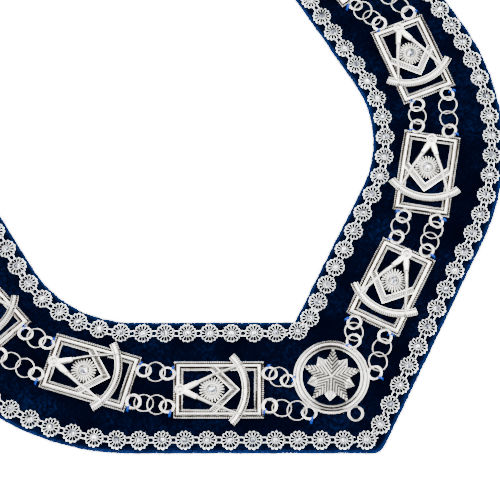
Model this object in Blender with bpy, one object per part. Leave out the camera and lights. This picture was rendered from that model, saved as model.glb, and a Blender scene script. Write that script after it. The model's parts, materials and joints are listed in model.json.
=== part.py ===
"""Chain collar, lying flat: a velvet band round the neck with a string of rosettes along each edge and,
down its middle, a chain of pierced plates, jump rings and a star medallion at the point of the V.

Metres, +Z up. The point of the V is toward -Y, the nape toward +Y, and the underside lies on z = 0.
An arm is walked along its middle line from the point of the V to the nape. Aside means to the side
of that line, positive away from the neck.
"""
import math
from collections import namedtuple

import bmesh
import bpy
from mathutils import Matrix, Vector

# A loop or ring of the chain: its middle, the chain's way there, the side away from the neck,
# and a sign that is 1 where that side is tilted up and -1 where it is tilted down
Link = namedtuple("Link", "centre way aside sign")

# The velvet band
VELVET_WIDTH = 0.0880
VELVET_THICKNESS = 0.0025
VELVET_FOLD = 0.0008
NOTCH_RADIUS = 0.0020
TIP_RADIUS = 0.0090

# The way of one arm, from the point of the V to the nape
FRONT_LEAN = math.radians(58.0)
FRONT_RUN = 0.1318
SHOULDER_RADIUS = 0.1240
BACK_RADIUS = 0.1450
BACK_TURN = math.radians(67.7)

# The gap kept between metal and velvet, and between one link and the next
SEAT = 0.0003
LINK_CLEARANCE = 0.0003

# The rosette strings, each a low band here
ROSETTE_WIDTH = 0.0126
ROSETTE_HEIGHT = 0.0026
ROSETTE_BEVEL = 0.0015
ROSETTE_INSET = 0.0083
INNER_STRING_CORNER = 0.0145
OUTER_STRING_CORNER = 0.0070

# The pierced plates
PLATE_LENGTH = 0.0585
PLATE_WIDTH = 0.0383
FRAME_BAR = 0.0065
FRAME_HEIGHT = 0.0025
ARC_HEIGHT = 0.0029
COMPASS_HEIGHT = 0.0033
SUN_HEIGHT = 0.0024
SUN_DIAMETER = 0.0168
STONE_DIAMETER = 0.0058
STONE_TABLE_DIAMETER = 0.0035
STONE_HEIGHT = 0.0010

# The medallion
STAR_RING_DIAMETER = 0.0495
STAR_RING_BAR = 0.0062
STAR_TIP_LAP = 0.00145
STAR_HEIGHT = 0.0034
STAR_SET_BACK = 0.0070
JEWEL_RING_DIAMETER = 0.0110
JEWEL_RING_WIRE = 0.0020
JEWEL_RING_SINK = 0.0006

# The loops soldered to plates and medallion, and the thinner rings between them
LOOP_DIAMETER = 0.0102
LOOP_WIRE = 0.0016
LOOP_SPREAD = 0.0218
LOOP_REACH = 0.0037
LOOP_SINK = 0.0003
RING_DIAMETER = 0.0132
RING_WIRE = 0.00095
RING_SIDES = 10
WIRE_SIDES = 5

# Each plate in turn from the medallion, the last one at the nape: the gap before it in ring
# diameters, how far it sits aside in velvet widths, and its turn from the way of the arm in degrees
PLATE_ROWS = (
    # gap, aside, turn
    (1.42, 0.030, 0.0),
    (1.99, -0.068, -3.0),
    (2.30, -0.007, 6.8),
    (2.32, -0.040, -4.6),
    (2.36, -0.062, 0.0),
    (2.14, -0.062, -4.6),
    (1.69, -0.060, 0.0),
)

# Outline tables of the emblem on a plate, right half, with across 0 on the middle line: shares of
# the plate's half width and half length
COMPASS_ROWS = (
    # across, along
    (0.120, 0.960),
    (0.190, 0.780),
    (0.955, -0.500),
    (0.800, -0.480),
    (0.000, 0.630),
)
SQUARE_ROWS = (
    # across, along
    (0.000, -0.480),
    (0.850, 0.080),
    (0.680, 0.190),
    (0.000, -0.253),
)
SUN_SHARE = 0.144
ARC_CENTRE_SHARE = 0.487
ARC_INNER_SHARE = 1.005
ARC_OUTER_SHARE = 1.180
ARC_SPREAD = math.radians(44.5)
ARC_STEPS = 4

# The frame's moulding across its bar, from outside to inside: shares of bar and height
FRAME_ROWS = (
    # across, height
    (0.00, 0.00),
    (0.00, 0.72),
    (0.42, 1.00),
    (1.00, 1.00),
    (1.00, 0.00),
)
RING_ROWS = (
    # across, height
    (0.00, 0.00),
    (0.00, 0.72),
    (0.36, 1.00),
    (0.68, 1.00),
    (1.00, 0.72),
    (1.00, 0.00),
)

# The star's outline over a fifth of a turn: degrees from a long point, share of its radius, height
STAR_ROWS = (
    # turn, reach, height
    (0.0, 1.00, 0.68),
    (18.0, 0.610, 0.45),
    (36.0, 0.790, 0.40),
    (54.0, 0.610, 0.45),
)
STAR_RING_SIDES = 22
STAR_LOOP_TURN = math.radians(26.7)

SUN_SIDES = 8
SHOULDER_STEPS = 7
BACK_STEPS = 5
NAPE_STEPS = 3
CORNER_STEPS = 2


def ring_radius():
    """Middle line radius of a jump ring."""
    return (RING_DIAMETER - RING_WIRE) / 2


def loop_radius():
    """Middle line radius of a soldered loop."""
    return (LOOP_DIAMETER - LOOP_WIRE) / 2


def longest_hold():
    """Greatest distance between the middles of a loop and a ring that hold each other."""
    return loop_radius() + ring_radius() - (LOOP_WIRE + RING_WIRE) / 2 - 2 * LINK_CLEARANCE


def longest_link():
    """Greatest distance between the middles of two rings that hold each other."""
    return 2 * ring_radius() - RING_WIRE - 2 * LINK_CLEARANCE


def link_tilt():
    """The lean of each link about the chain's way, by which it passes over and under the next."""
    hold = longest_hold()
    reach = (hold ** 2 + loop_radius() ** 2 - ring_radius() ** 2) / (2 * hold)
    crossing = math.sqrt(loop_radius() ** 2 - reach ** 2)
    return math.atan((LOOP_WIRE / 2 + RING_WIRE / 2 + LINK_CLEARANCE) / (2 * crossing))


def metal_floor():
    """Height of the underside of plates and medallion."""
    return VELVET_THICKNESS + SEAT


def link_height():
    """Height of the middle of every loop and ring."""
    return metal_floor() + ring_radius() * math.sin(link_tilt()) + RING_WIRE / 2


def star_reach():
    """Where the medallion's rim lies along an arm."""
    return STAR_RING_DIAMETER / 2 + STAR_SET_BACK * math.cos(FRONT_LEAN)


def half_chain():
    """Length of one arm's middle line, which the chain sets, to the middle of the nape plate."""
    total = star_reach()
    for gap, _aside, _turn in PLATE_ROWS:
        total += gap * RING_DIAMETER + PLATE_LENGTH
    return total - PLATE_LENGTH / 2


def stretches():
    """The stretches of one arm: length and bend, which is one over the radius."""
    side_reach = FRONT_RUN * math.sin(FRONT_LEAN) + SHOULDER_RADIUS * (1 - math.cos(FRONT_LEAN))
    back_reach = side_reach - BACK_RADIUS * (1 - math.cos(BACK_TURN))
    nape_radius = back_reach / math.cos(BACK_TURN)
    shoulder = SHOULDER_RADIUS * FRONT_LEAN
    back = BACK_RADIUS * BACK_TURN
    nape = nape_radius * (math.pi / 2 - BACK_TURN)
    side = half_chain() - FRONT_RUN - shoulder - back - nape
    return (
        (FRONT_RUN, 0.0),
        (shoulder, 1 / SHOULDER_RADIUS),
        (side, 0.0),
        (back, 1 / BACK_RADIUS),
        (nape, 1 / nape_radius),
    )


def walk(along):
    """Point and heading of the right arm's middle line, before the collar is centred."""
    x, y, lean = 0.0, 0.0, FRONT_LEAN
    for length, bend in stretches():
        step = min(along, length)
        if bend:
            x += (math.cos(lean - bend * step) - math.cos(lean)) / bend
            y += (math.sin(lean) - math.sin(lean - bend * step)) / bend
        else:
            x += step * math.sin(lean)
            y += step * math.cos(lean)
        lean -= bend * step
        along -= step
        if along <= 0:
            break
    return Vector((x, y)), lean


def outward(lean):
    """Unit vector away from the neck on the right arm."""
    return Vector((math.cos(lean), -math.sin(lean)))


def middle_shift():
    """Shift along Y that puts the middle of the whole outline over the origin."""
    sharp = VELVET_WIDTH / 2 / math.sin(FRONT_LEAN)
    tip = -sharp + TIP_RADIUS * (1 / math.sin(FRONT_LEAN) - 1)
    nape = walk(half_chain())[0].y + VELVET_WIDTH / 2
    return -(tip + nape) / 2


def place(along, aside):
    """Point beside the right arm's middle line, in the part's own frame, and its heading."""
    point, lean = walk(along)
    point = point + outward(lean) * aside
    point.y += middle_shift()
    return point, lean


def half_outline(aside, corner_radius):
    """Points from the V to the nape at one distance aside, with a round corner on the V."""
    centre_y = middle_shift() + (corner_radius - aside) / math.sin(FRONT_LEAN)
    points = []
    for step in range(CORNER_STEPS + 1):
        turn = (math.pi / 2 - FRONT_LEAN) * step / CORNER_STEPS
        points.append(Vector((corner_radius * math.sin(turn), centre_y - corner_radius * math.cos(turn))))
    along = 0.0
    counts = (1, SHOULDER_STEPS, 1, BACK_STEPS, NAPE_STEPS)
    for (length, _bend), count in zip(stretches(), counts):
        for step in range(count):
            points.append(place(along + length * (step + 1) / count, aside)[0])
        along += length
    points[-1].x = 0.0
    return points


def whole_outline(aside, corner_radius):
    """The closed outline, right arm up and left arm down."""
    right = half_outline(aside, corner_radius)
    left = [Vector((-point.x, point.y)) for point in reversed(right[1:-1])]
    return right + left


def new_mesh(name, vertices, faces):
    """Mesh with its faces pointing out."""
    work = bmesh.new()
    corners = [work.verts.new(vertex) for vertex in vertices]
    for face in faces:
        work.faces.new([corners[index] for index in face])
    bmesh.ops.recalc_face_normals(work, faces=work.faces)
    mesh = bpy.data.meshes.new(name)
    work.to_mesh(mesh)
    work.free()
    return mesh


def swept(name, rings):
    """Closed body through equal rings of points, the last joined to the first."""
    count = len(rings[0])
    vertices = [vertex for ring in rings for vertex in ring]
    faces = []
    for index in range(len(rings)):
        here = index * count
        there = (index + 1) % len(rings) * count
        for corner in range(count):
            after = (corner + 1) % count
            faces.append((here + corner, here + after, there + after, there + corner))
    return new_mesh(name, vertices, faces)


def prism(name, outline, bottom, top):
    """Upright body over a flat outline."""
    count = len(outline)
    vertices = [(x, y, bottom) for x, y in outline] + [(x, y, top) for x, y in outline]
    faces = [tuple(range(count)), tuple(range(count, 2 * count))]
    for corner in range(count):
        after = (corner + 1) % count
        faces.append((corner, after, count + after, count + corner))
    return new_mesh(name, vertices, faces)


def circle(centre, radius, sides):
    """Outline of a round piece."""
    turns = [2 * math.pi * (index + 0.5) / sides for index in range(sides)]
    return [(centre[0] + radius * math.cos(turn), centre[1] + radius * math.sin(turn)) for turn in turns]


def torus(name, radius, wire, sides):
    """A ring of round wire in the XY plane."""
    rings = []
    for index in range(sides):
        turn = 2 * math.pi * index / sides
        ring = []
        for corner in range(WIRE_SIDES):
            lean = 2 * math.pi * corner / WIRE_SIDES
            reach = radius + wire / 2 * math.cos(lean)
            ring.append((reach * math.cos(turn), reach * math.sin(turn), wire / 2 * math.sin(lean)))
        rings.append(ring)
    return swept(name, rings)


def link_matrix(link):
    """Place of a link, tilted about the chain's way."""
    tilt = link_tilt() * link.sign
    across = Vector((link.aside.x * math.cos(tilt), link.aside.y * math.cos(tilt), math.sin(tilt)))
    along = Vector((link.way.x, link.way.y, 0.0))
    matrix = Matrix((across, along, across.cross(along))).transposed().to_4x4()
    matrix.translation = Vector((link.centre.x, link.centre.y, link_height()))
    return matrix


def fused(name, pieces):
    """One body made of all the pieces, with flat neighbours merged again."""
    objects = [bpy.data.objects.new(name + "_piece", mesh) for mesh in pieces]
    for item in objects:
        bpy.context.collection.objects.link(item)
    for tool in objects[1:]:
        joint = objects[0].modifiers.new("union", "BOOLEAN")
        joint.operation = "UNION"
        joint.solver = "EXACT"
        joint.object = tool
    bpy.context.view_layer.update()
    evaluated = objects[0].evaluated_get(bpy.context.evaluated_depsgraph_get())
    mesh = bpy.data.meshes.new_from_object(evaluated)
    for item in objects:
        bpy.data.objects.remove(item)
    work = bmesh.new()
    work.from_mesh(mesh)
    bmesh.ops.remove_doubles(work, verts=work.verts, dist=0.00001)
    bmesh.ops.dissolve_limit(work, angle_limit=math.radians(0.3), verts=work.verts, edges=work.edges)
    bmesh.ops.triangulate(work, faces=work.faces)
    work.to_mesh(mesh)
    work.free()
    mesh.name = name
    return mesh


def moved(mesh, matrix):
    """Copy of a mesh at a place."""
    copy = mesh.copy()
    copy.transform(matrix)
    return copy


def material(name, colour, roughness, metallic):
    """Principled finish."""
    finish = bpy.data.materials.new(name)
    finish.use_nodes = True
    shader = finish.node_tree.nodes["Principled BSDF"]
    shader.inputs["Base Color"].default_value = (*colour, 1.0)
    shader.inputs["Roughness"].default_value = roughness
    shader.inputs["Metallic"].default_value = metallic
    return finish


def add(name, mesh, finish, matrix=None):
    """Object of one sub-part."""
    item = bpy.data.objects.new(name, mesh)
    mesh.materials.clear()
    mesh.materials.append(finish)
    if matrix is not None:
        item.matrix_world = matrix
    bpy.context.collection.objects.link(item)
    return item


def band(name, inner_edge, outer_edge, rows):
    """Flat band between two edges, each its place aside and corner radius; rows give inset and height."""
    inner = whole_outline(*inner_edge)
    outer = whole_outline(*outer_edge)
    rings = []
    for near, far in zip(inner, outer):
        across = (far - near).normalized()
        ring = []
        for edge, inset, height in rows:
            point = near + across * inset if edge == "inner" else far - across * inset
            ring.append((point.x, point.y, height))
        rings.append(ring)
    return swept(name, rings)


def velvet_mesh():
    """The velvet, its edges folded under."""
    rows = (
        ("inner", VELVET_FOLD, 0.0),
        ("inner", 0.0, VELVET_THICKNESS / 2),
        ("inner", VELVET_FOLD, VELVET_THICKNESS),
        ("outer", VELVET_FOLD, VELVET_THICKNESS),
        ("outer", 0.0, VELVET_THICKNESS / 2),
        ("outer", VELVET_FOLD, 0.0),
    )
    half = VELVET_WIDTH / 2
    return band("velvet_band", (-half, NOTCH_RADIUS), (half, TIP_RADIUS), rows)


def string_mesh(name, side, corner_radius):
    """One string of rosettes as a low band, side -1 along the neck and 1 along the outer edge."""
    middle = side * (VELVET_WIDTH / 2 - ROSETTE_INSET)
    half = ROSETTE_WIDTH / 2
    floor = metal_floor()
    rows = (
        ("inner", 0.0, floor),
        ("inner", ROSETTE_BEVEL, floor + ROSETTE_HEIGHT),
        ("outer", ROSETTE_BEVEL, floor + ROSETTE_HEIGHT),
        ("outer", 0.0, floor),
    )
    return band(name, (middle - half, corner_radius - half), (middle + half, corner_radius + half), rows)


def mirrored_outline(rows):
    """Outline on the plate from its right half."""
    right = [(across * PLATE_WIDTH / 2, along * PLATE_LENGTH / 2) for across, along in rows]
    left = [(-x, y) for x, y in reversed(right) if x > 0]
    return right + left


def frame_mesh():
    """The plate's mitred frame."""
    rings = []
    for side_x, side_y in ((1, 1), (-1, 1), (-1, -1), (1, -1)):
        ring = []
        for across, height in FRAME_ROWS:
            inset = across * FRAME_BAR
            x = side_x * (PLATE_WIDTH / 2 - inset)
            y = side_y * (PLATE_LENGTH / 2 - inset)
            ring.append((x, y, height * FRAME_HEIGHT))
        rings.append(ring)
    return swept("frame", rings)


def arc_mesh():
    """The graduated arc across the plate's foot."""
    half_length = PLATE_LENGTH / 2
    centre = ARC_CENTRE_SHARE * half_length
    points = []
    for radius, direction in ((ARC_INNER_SHARE * half_length, 1), (ARC_OUTER_SHARE * half_length, -1)):
        for step in range(ARC_STEPS + 1):
            turn = direction * ARC_SPREAD * (2 * step / ARC_STEPS - 1)
            points.append((radius * math.sin(turn), centre - radius * math.cos(turn)))
    return prism("arc", points, 0.0, ARC_HEIGHT)


def sun_mesh():
    """The sun's disc with a round stone on it, cut with a table and a ring of facets."""
    centre = (0.0, SUN_SHARE * PLATE_LENGTH / 2)
    levels = (
        (SUN_DIAMETER / 2, 0.0),
        (SUN_DIAMETER / 2, SUN_HEIGHT),
        (STONE_DIAMETER / 2, SUN_HEIGHT),
        (STONE_TABLE_DIAMETER / 2, SUN_HEIGHT + STONE_HEIGHT),
    )
    vertices = [(x, y, height) for radius, height in levels for x, y in circle(centre, radius, SUN_SIDES)]
    top = (len(levels) - 1) * SUN_SIDES
    faces = [tuple(range(SUN_SIDES)), tuple(range(top, top + SUN_SIDES))]
    for level in range(len(levels) - 1):
        for corner in range(SUN_SIDES):
            after = (corner + 1) % SUN_SIDES
            here = level * SUN_SIDES
            faces.append((here + corner, here + after, here + SUN_SIDES + after, here + SUN_SIDES + corner))
    return new_mesh("sun", vertices, faces)


def plate_body():
    """Frame, arc, square, compasses, sun and stone as one casting, without its loops."""
    pieces = [
        frame_mesh(),
        arc_mesh(),
        prism("square", mirrored_outline(SQUARE_ROWS), 0.0, FRAME_HEIGHT),
        sun_mesh(),
        prism("compasses", mirrored_outline(COMPASS_ROWS), 0.0, COMPASS_HEIGHT),
    ]
    return fused("plate", pieces)


def with_loops(name, pieces, loops, body_place):
    """A casting with its loops soldered on, in its own frame."""
    loop = torus("loop", loop_radius(), LOOP_WIRE, RING_SIDES)
    to_body = body_place.inverted()
    soldered = [moved(loop, to_body @ link_matrix(link)) for link in loops]
    return fused(name, pieces + soldered)


def star_mesh():
    """Ten-pointed star, long points over short ones."""
    radius = STAR_RING_DIAMETER / 2 - STAR_RING_BAR + STAR_TIP_LAP
    outline = []
    for point in range(5):
        for turn, reach, height in STAR_ROWS:
            angle = math.radians(turn + 72.0 * point - 90.0)
            outline.append((reach * radius * math.cos(angle), reach * radius * math.sin(angle), height * STAR_HEIGHT))
    count = len(outline)
    vertices = [(x, y, 0.0) for x, y, _height in outline] + outline + [(0.0, 0.0, STAR_HEIGHT)]
    faces = [tuple(range(count))]
    for corner in range(count):
        after = (corner + 1) % count
        faces.append((corner, after, count + after, count + corner))
        faces.append((count + corner, count + after, 2 * count))
    return new_mesh("star", vertices, faces)


def star_ring_mesh():
    """The medallion's turned ring."""
    rings = []
    for index in range(STAR_RING_SIDES):
        turn = 2 * math.pi * (index + 0.5) / STAR_RING_SIDES
        ring = []
        for across, height in RING_ROWS:
            reach = STAR_RING_DIAMETER / 2 - across * STAR_RING_BAR
            ring.append((reach * math.cos(turn), reach * math.sin(turn), height * FRAME_HEIGHT))
        rings.append(ring)
    return swept("star_ring", rings)


def star_place():
    """Middle of the medallion."""
    return Vector((0.0, middle_shift() + STAR_SET_BACK))


def star_loops():
    """Middles of the right-hand loops of the medallion, inner and outer strand."""
    reach = STAR_RING_DIAMETER / 2 + LOOP_REACH - LOOP_SINK
    loops = []
    for side in (1, -1):
        offset = Vector((math.cos(STAR_LOOP_TURN), side * math.sin(STAR_LOOP_TURN))) * reach
        loops.append(star_place() + offset)
    return loops


def medallion_mesh(loops, body_place):
    """Ring, star, four loops and the small ring that a jewel hangs from."""
    jewel_radius = (JEWEL_RING_DIAMETER - JEWEL_RING_WIRE) / 2
    jewel = torus("jewel", jewel_radius, JEWEL_RING_WIRE, RING_SIDES)
    drop = STAR_RING_DIAMETER / 2 + jewel_radius - JEWEL_RING_SINK
    jewel.transform(Matrix.Translation((0.0, -drop, JEWEL_RING_WIRE / 2)))
    return with_loops("medallion", [star_ring_mesh(), star_mesh(), jewel], loops, body_place)


def plate_places():
    """Middle and heading of each right-hand plate from the medallion up, and of the nape plate."""
    along = star_reach()
    places = []
    for gap, aside, turn in PLATE_ROWS:
        along += gap * RING_DIAMETER + PLATE_LENGTH / 2
        point, lean = place(along, aside * VELVET_WIDTH)
        places.append((point, lean + math.radians(turn)))
        along += PLATE_LENGTH / 2
    return places


def plate_loops(spot, end):
    """Middles of a right-hand plate's loops at one end, inner and outer strand."""
    point, lean = spot
    way = Vector((math.sin(lean), math.cos(lean)))
    foot = point + way * (end * (PLATE_LENGTH / 2 + LOOP_REACH))
    return [foot + outward(lean) * (side * LOOP_SPREAD / 2) for side in (-1, 1)]


def ring_count(span):
    """How many rings join two loops this far apart."""
    spare = span - 2 * longest_hold()
    return 1 + max(0, math.ceil(spare / longest_link()))


def strand(start, end, aside_hint):
    """The loop at the start, the rings between, and the loop at the end, tilted by turns."""
    span = (end - start).length
    way = (end - start).normalized()
    aside = Vector((way.y, -way.x))
    if aside.dot(aside_hint) < 0:
        aside = -aside
    count = ring_count(span)
    slack = span / (2 * longest_hold() + (count - 1) * longest_link())
    links = [Link(start, way, aside, 1)]
    for index in range(count):
        reach = (longest_hold() + index * longest_link()) * slack
        links.append(Link(start + way * reach, way, aside, -links[-1].sign))
    links.append(Link(end, way, aside, -links[-1].sign))
    return links


def mirror(point):
    """The same point on the left arm."""
    return Vector((-point.x, point.y))


def mirror_link(link):
    """The same link on the left arm."""
    return Link(mirror(link.centre), mirror(link.way), mirror(link.aside), link.sign)


def right_strands(places):
    """Strands of each gap on the right arm, inner and outer, from the medallion up."""
    starts = [star_loops()] + [plate_loops(spot, 1) for spot in places]
    ends = [plate_loops(spot, -1) for spot in places]
    gaps = []
    for near, far, (_point, lean) in zip(starts, ends, places):
        gaps.append([strand(start, end, outward(lean)) for start, end in zip(near, far)])
    return gaps


def build():
    """The whole collar."""
    velvet = material("velvet", (0.008, 0.018, 0.075), 0.9, 0.0)
    silver = material("silver", (0.86, 0.84, 0.80), 0.25, 1.0)
    rosette = material("rosette_silver", (0.90, 0.90, 0.90), 0.30, 1.0)
    add("velvet_band", velvet_mesh(), velvet)
    inner_string = string_mesh("inner_rosette_string", -1, INNER_STRING_CORNER)
    outer_string = string_mesh("outer_rosette_string", 1, OUTER_STRING_CORNER)
    add("inner_rosette_string", inner_string, rosette)
    add("outer_rosette_string", outer_string, rosette)

    places = plate_places()
    gaps = right_strands(places)
    ring = torus("jump_ring", ring_radius(), RING_WIRE, RING_SIDES)
    for number, gap in enumerate(gaps, 1):
        for strand_name, links in zip(("inner", "outer"), gap):
            for index, link in enumerate(links[1:-1], 1):
                label = "{}_{}_{}".format(number, strand_name, index)
                add("ring_right_" + label, ring.copy(), silver, link_matrix(link))
                add("ring_left_" + label, ring.copy(), silver, link_matrix(mirror_link(link)))

    star_links = [links[0] for links in gaps[0]]
    star_links += [mirror_link(link) for link in star_links]
    medallion_place = Matrix.Translation((*star_place(), metal_floor()))
    add("medallion", medallion_mesh(star_links, medallion_place), silver, medallion_place)

    body = plate_body()
    for number, (point, lean) in enumerate(places, 1):
        feet = [links[-1] for links in gaps[number - 1]]
        if number < len(places):
            loops = feet + [links[0] for links in gaps[number]]
            left_loops = [mirror_link(link) for link in loops]
            plates = [("plate_right_{}".format(number), 1, loops), ("plate_left_{}".format(number), -1, left_loops)]
        else:
            plates = [("plate_nape", 1, feet + [mirror_link(link) for link in feet])]
        for name, side, links in plates:
            turn = Matrix.Rotation(-side * lean, 4, "Z")
            body_place = Matrix.Translation((side * point.x, point.y, metal_floor())) @ turn
            add(name, with_loops(name, [body.copy()], links, body_place), silver, body_place)


for old in list(bpy.data.objects):
    bpy.data.objects.remove(old)
build()
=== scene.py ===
"""Looks of the chain collar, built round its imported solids.

Metres, +Z up. The point of the V is toward -Y and the nape toward +Y. An arm is walked along its
middle line from the point of the V to the nape. Aside means to the side of that line, positive away
from the neck. The tables of castings are in millimetres.
"""
import json
import math
from collections import namedtuple

import bmesh
import bpy
from mathutils import Matrix, Vector, noise

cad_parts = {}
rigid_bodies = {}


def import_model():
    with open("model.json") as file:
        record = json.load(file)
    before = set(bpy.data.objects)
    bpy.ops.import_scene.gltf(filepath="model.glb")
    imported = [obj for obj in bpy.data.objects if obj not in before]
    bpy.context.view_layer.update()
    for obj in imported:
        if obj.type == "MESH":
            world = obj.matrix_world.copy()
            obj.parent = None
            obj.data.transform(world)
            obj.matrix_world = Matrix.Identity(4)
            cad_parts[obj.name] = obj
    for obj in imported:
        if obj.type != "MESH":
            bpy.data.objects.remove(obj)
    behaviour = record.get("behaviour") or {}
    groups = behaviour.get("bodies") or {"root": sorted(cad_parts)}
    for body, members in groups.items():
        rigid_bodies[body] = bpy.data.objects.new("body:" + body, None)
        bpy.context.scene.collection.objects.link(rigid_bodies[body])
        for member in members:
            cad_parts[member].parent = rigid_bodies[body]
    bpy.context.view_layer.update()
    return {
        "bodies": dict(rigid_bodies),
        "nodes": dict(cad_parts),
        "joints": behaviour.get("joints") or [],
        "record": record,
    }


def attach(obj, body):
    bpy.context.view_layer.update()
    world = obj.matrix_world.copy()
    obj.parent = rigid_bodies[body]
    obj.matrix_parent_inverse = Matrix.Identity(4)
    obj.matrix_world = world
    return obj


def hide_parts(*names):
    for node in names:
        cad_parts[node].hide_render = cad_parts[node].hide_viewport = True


MM = 0.001

# Sockets that share their names with others, by their places: least and most of a random number,
# and both colours and the result of a colour mix
RANDOM_MIN = 2
RANDOM_MAX = 3
MIX_COLOURS = (6, 7)
MIX_RESULT = 2

# A loop or ring of the chain: its middle, the way of the chain, the side away from the neck, and a
# sign that is 1 where that side is tilted up and -1 where it is tilted down
Link = namedtuple("Link", "centre way aside sign")

# Part of a casting: its points, its faces, and how much tarnish and painted shade each point holds
Shape = namedtuple("Shape", "points faces tarnish")

# From which angle in degrees an edge is sharp: of most castings, of a plate, of the medallion
SHARP = 38.0
PLATE_SHARP = 30.0
STAR_SHARP = 20.0

# Corners round and across the wire of a loop and of a jump ring
LOOP_SIDES = (36, 12)
RING_SIDES = (44, 10)

# Sizes of the solids
VELVET_WIDTH = 0.0880
VELVET_THICKNESS = 0.0025
NOTCH_RADIUS = 0.0020
TIP_RADIUS = 0.0090
FRONT_LEAN = math.radians(58.0)
FRONT_RUN = 0.1318
SHOULDER_RADIUS = 0.1240
BACK_RADIUS = 0.1450
BACK_TURN = math.radians(67.7)
SEAT = 0.0003
LINK_CLEARANCE = 0.0003
ROSETTE_INSET = 0.0083
INNER_STRING_CORNER = 0.0145
OUTER_STRING_CORNER = 0.0070
PLATE_LENGTH = 0.0585
PLATE_WIDTH = 0.0383
STAR_RING_DIAMETER = 0.0495
STAR_SET_BACK = 0.0070
LOOP_DIAMETER = 0.0102
LOOP_WIRE = 0.0016
LOOP_SPREAD = 0.0218
LOOP_REACH = 0.0037
LOOP_SINK = 0.0003
STAR_LOOP_TURN = math.radians(26.7)
LOOP_SPREAD_WIRE = 1.2
RING_DIAMETER = 0.0132
RING_WIRE = 0.00095

# Each plate in turn from the medallion, the last one at the nape: the gap before it in ring
# diameters, how far it sits aside in velvet widths, and its turn from the way of the arm in degrees
PLATE_ROWS = (
    # gap, aside, turn
    (1.42, 0.030, 0.0),
    (1.99, -0.068, -3.0),
    (2.30, -0.007, 6.8),
    (2.32, -0.040, -4.6),
    (2.36, -0.062, 0.0),
    (2.14, -0.062, -4.6),
    (1.69, -0.060, 0.0),
)

# How finely the edges of the band are drawn: steps of corner, front, shoulder, side, back and nape
BAND_STEPS = (6, 44, 42, 20, 56, 26)

# One edge of the band's section, from the underside round to the top: inset from the edge, height,
# and rim: how much painted sheen, a lighter blue, is laid on the pile's side. The other edge is its mirror
# image.
BAND_ROWS = (
    # inset, height, rim of painted sheen
    (0.90, 0.05, 0.4),
    (0.30, 0.35, 1.0),
    (0.00, 1.10, 1.0),
    (0.25, 1.90, 1.0),
    (0.90, 2.35, 0.9),
    (2.00, 2.45, 0.3),
    (4.00, 2.40, 0.0),
)
BAND_MIDDLE_COLUMNS = 22

# The faint waves of the velvet's top: the height they start above, their height, and their scale
WAVE_FLOOR = 2.3
WAVE_HEIGHT = 0.09
WAVE_SCALE = 45.0

# The moulding of a plate's frame, from its outside to its inside
FRAME_MOULD = (
    # inset, height, tarnish and painted shade, milling
    (0.00, 0.00, 0.8, 0.00),
    (0.00, 1.40, 0.3, 0.00),
    (0.20, 1.80, 0.0, 0.12),
    (0.65, 2.00, 0.0, 0.18),
    (1.10, 1.80, 0.1, 0.10),
    (1.22, 1.05, 1.0, 0.00),
    (1.85, 1.05, 1.0, 0.00),
    (2.00, 1.90, 0.0, 0.00),
    (2.40, 2.36, 0.0, 0.00),
    (3.00, 2.46, 0.0, 0.00),
    (3.60, 2.40, 0.0, 0.00),
    (3.95, 2.05, 0.1, 0.00),
    (4.08, 1.10, 1.0, 0.00),
    (4.72, 1.10, 1.0, 0.00),
    (4.86, 1.65, 0.0, 0.10),
    (5.60, 1.95, 0.0, 0.16),
    (6.20, 1.60, 0.1, 0.00),
    (6.50, 0.90, 0.6, 0.00),
    (6.50, 0.00, 0.9, 0.00),
)
ARC_MOULD = (
    # share across, height, tarnish and painted shade, milling
    (0.00, 0.00, 0.8, 0.00),
    (0.00, 2.40, 0.4, 0.00),
    (0.04, 2.95, 0.0, 0.00),
    (0.13, 3.00, 0.0, 0.00),
    (0.16, 2.60, 1.0, 0.00),
    (0.23, 2.60, 1.0, 0.00),
    (0.30, 2.95, 0.0, 0.00),
    (0.58, 3.05, 0.0, 0.00),
    (0.62, 2.95, 0.0, 0.20),
    (0.90, 2.90, 0.0, 0.20),
    (0.95, 2.65, 0.2, 0.00),
    (1.00, 2.20, 0.6, 0.00),
    (1.00, 0.00, 0.8, 0.00),
)
SQUARE_MOULD = (
    # share across, height, tarnish and painted shade, milling
    (0.00, 0.00, 0.8, 0.00),
    (0.00, 2.30, 0.4, 0.00),
    (0.06, 2.90, 0.0, 0.00),
    (0.18, 2.90, 0.0, 0.00),
    (0.22, 2.50, 0.8, 0.00),
    (0.28, 2.50, 0.8, 0.00),
    (0.33, 2.75, 0.0, 0.12),
    (0.67, 2.75, 0.0, 0.12),
    (0.72, 2.50, 0.8, 0.00),
    (0.78, 2.50, 0.8, 0.00),
    (0.82, 2.90, 0.0, 0.00),
    (0.94, 2.90, 0.0, 0.00),
    (1.00, 2.30, 0.4, 0.00),
    (1.00, 0.00, 0.8, 0.00),
)
RING_MOULD = (
    # inset, height, tarnish and painted shade, milling
    (0.00, 0.00, 0.8, 0.00),
    (0.00, 1.35, 0.3, 0.00),
    (0.35, 1.85, 0.0, 0.00),
    (0.90, 2.05, 0.0, 0.00),
    (1.35, 1.80, 0.1, 0.00),
    (1.48, 1.30, 1.0, 0.00),
    (1.90, 1.30, 1.0, 0.00),
    (2.02, 1.95, 0.0, 0.00),
    (2.60, 2.40, 0.0, 0.00),
    (3.10, 2.46, 0.0, 0.00),
    (3.50, 2.30, 0.0, 0.08),
    (3.80, 2.10, 0.0, 0.00),
    (3.95, 1.40, 1.0, 0.00),
    (4.45, 1.40, 1.0, 0.00),
    (4.60, 2.00, 0.0, 0.00),
    (5.20, 2.25, 0.0, 0.00),
    (5.85, 1.95, 0.0, 0.00),
    (6.20, 1.35, 0.3, 0.00),
    (6.20, 0.00, 0.8, 0.00),
)
RING_STATIONS = 270
JEWEL_DROP = 3.9
JEWEL_STATIONS = 40
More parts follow.
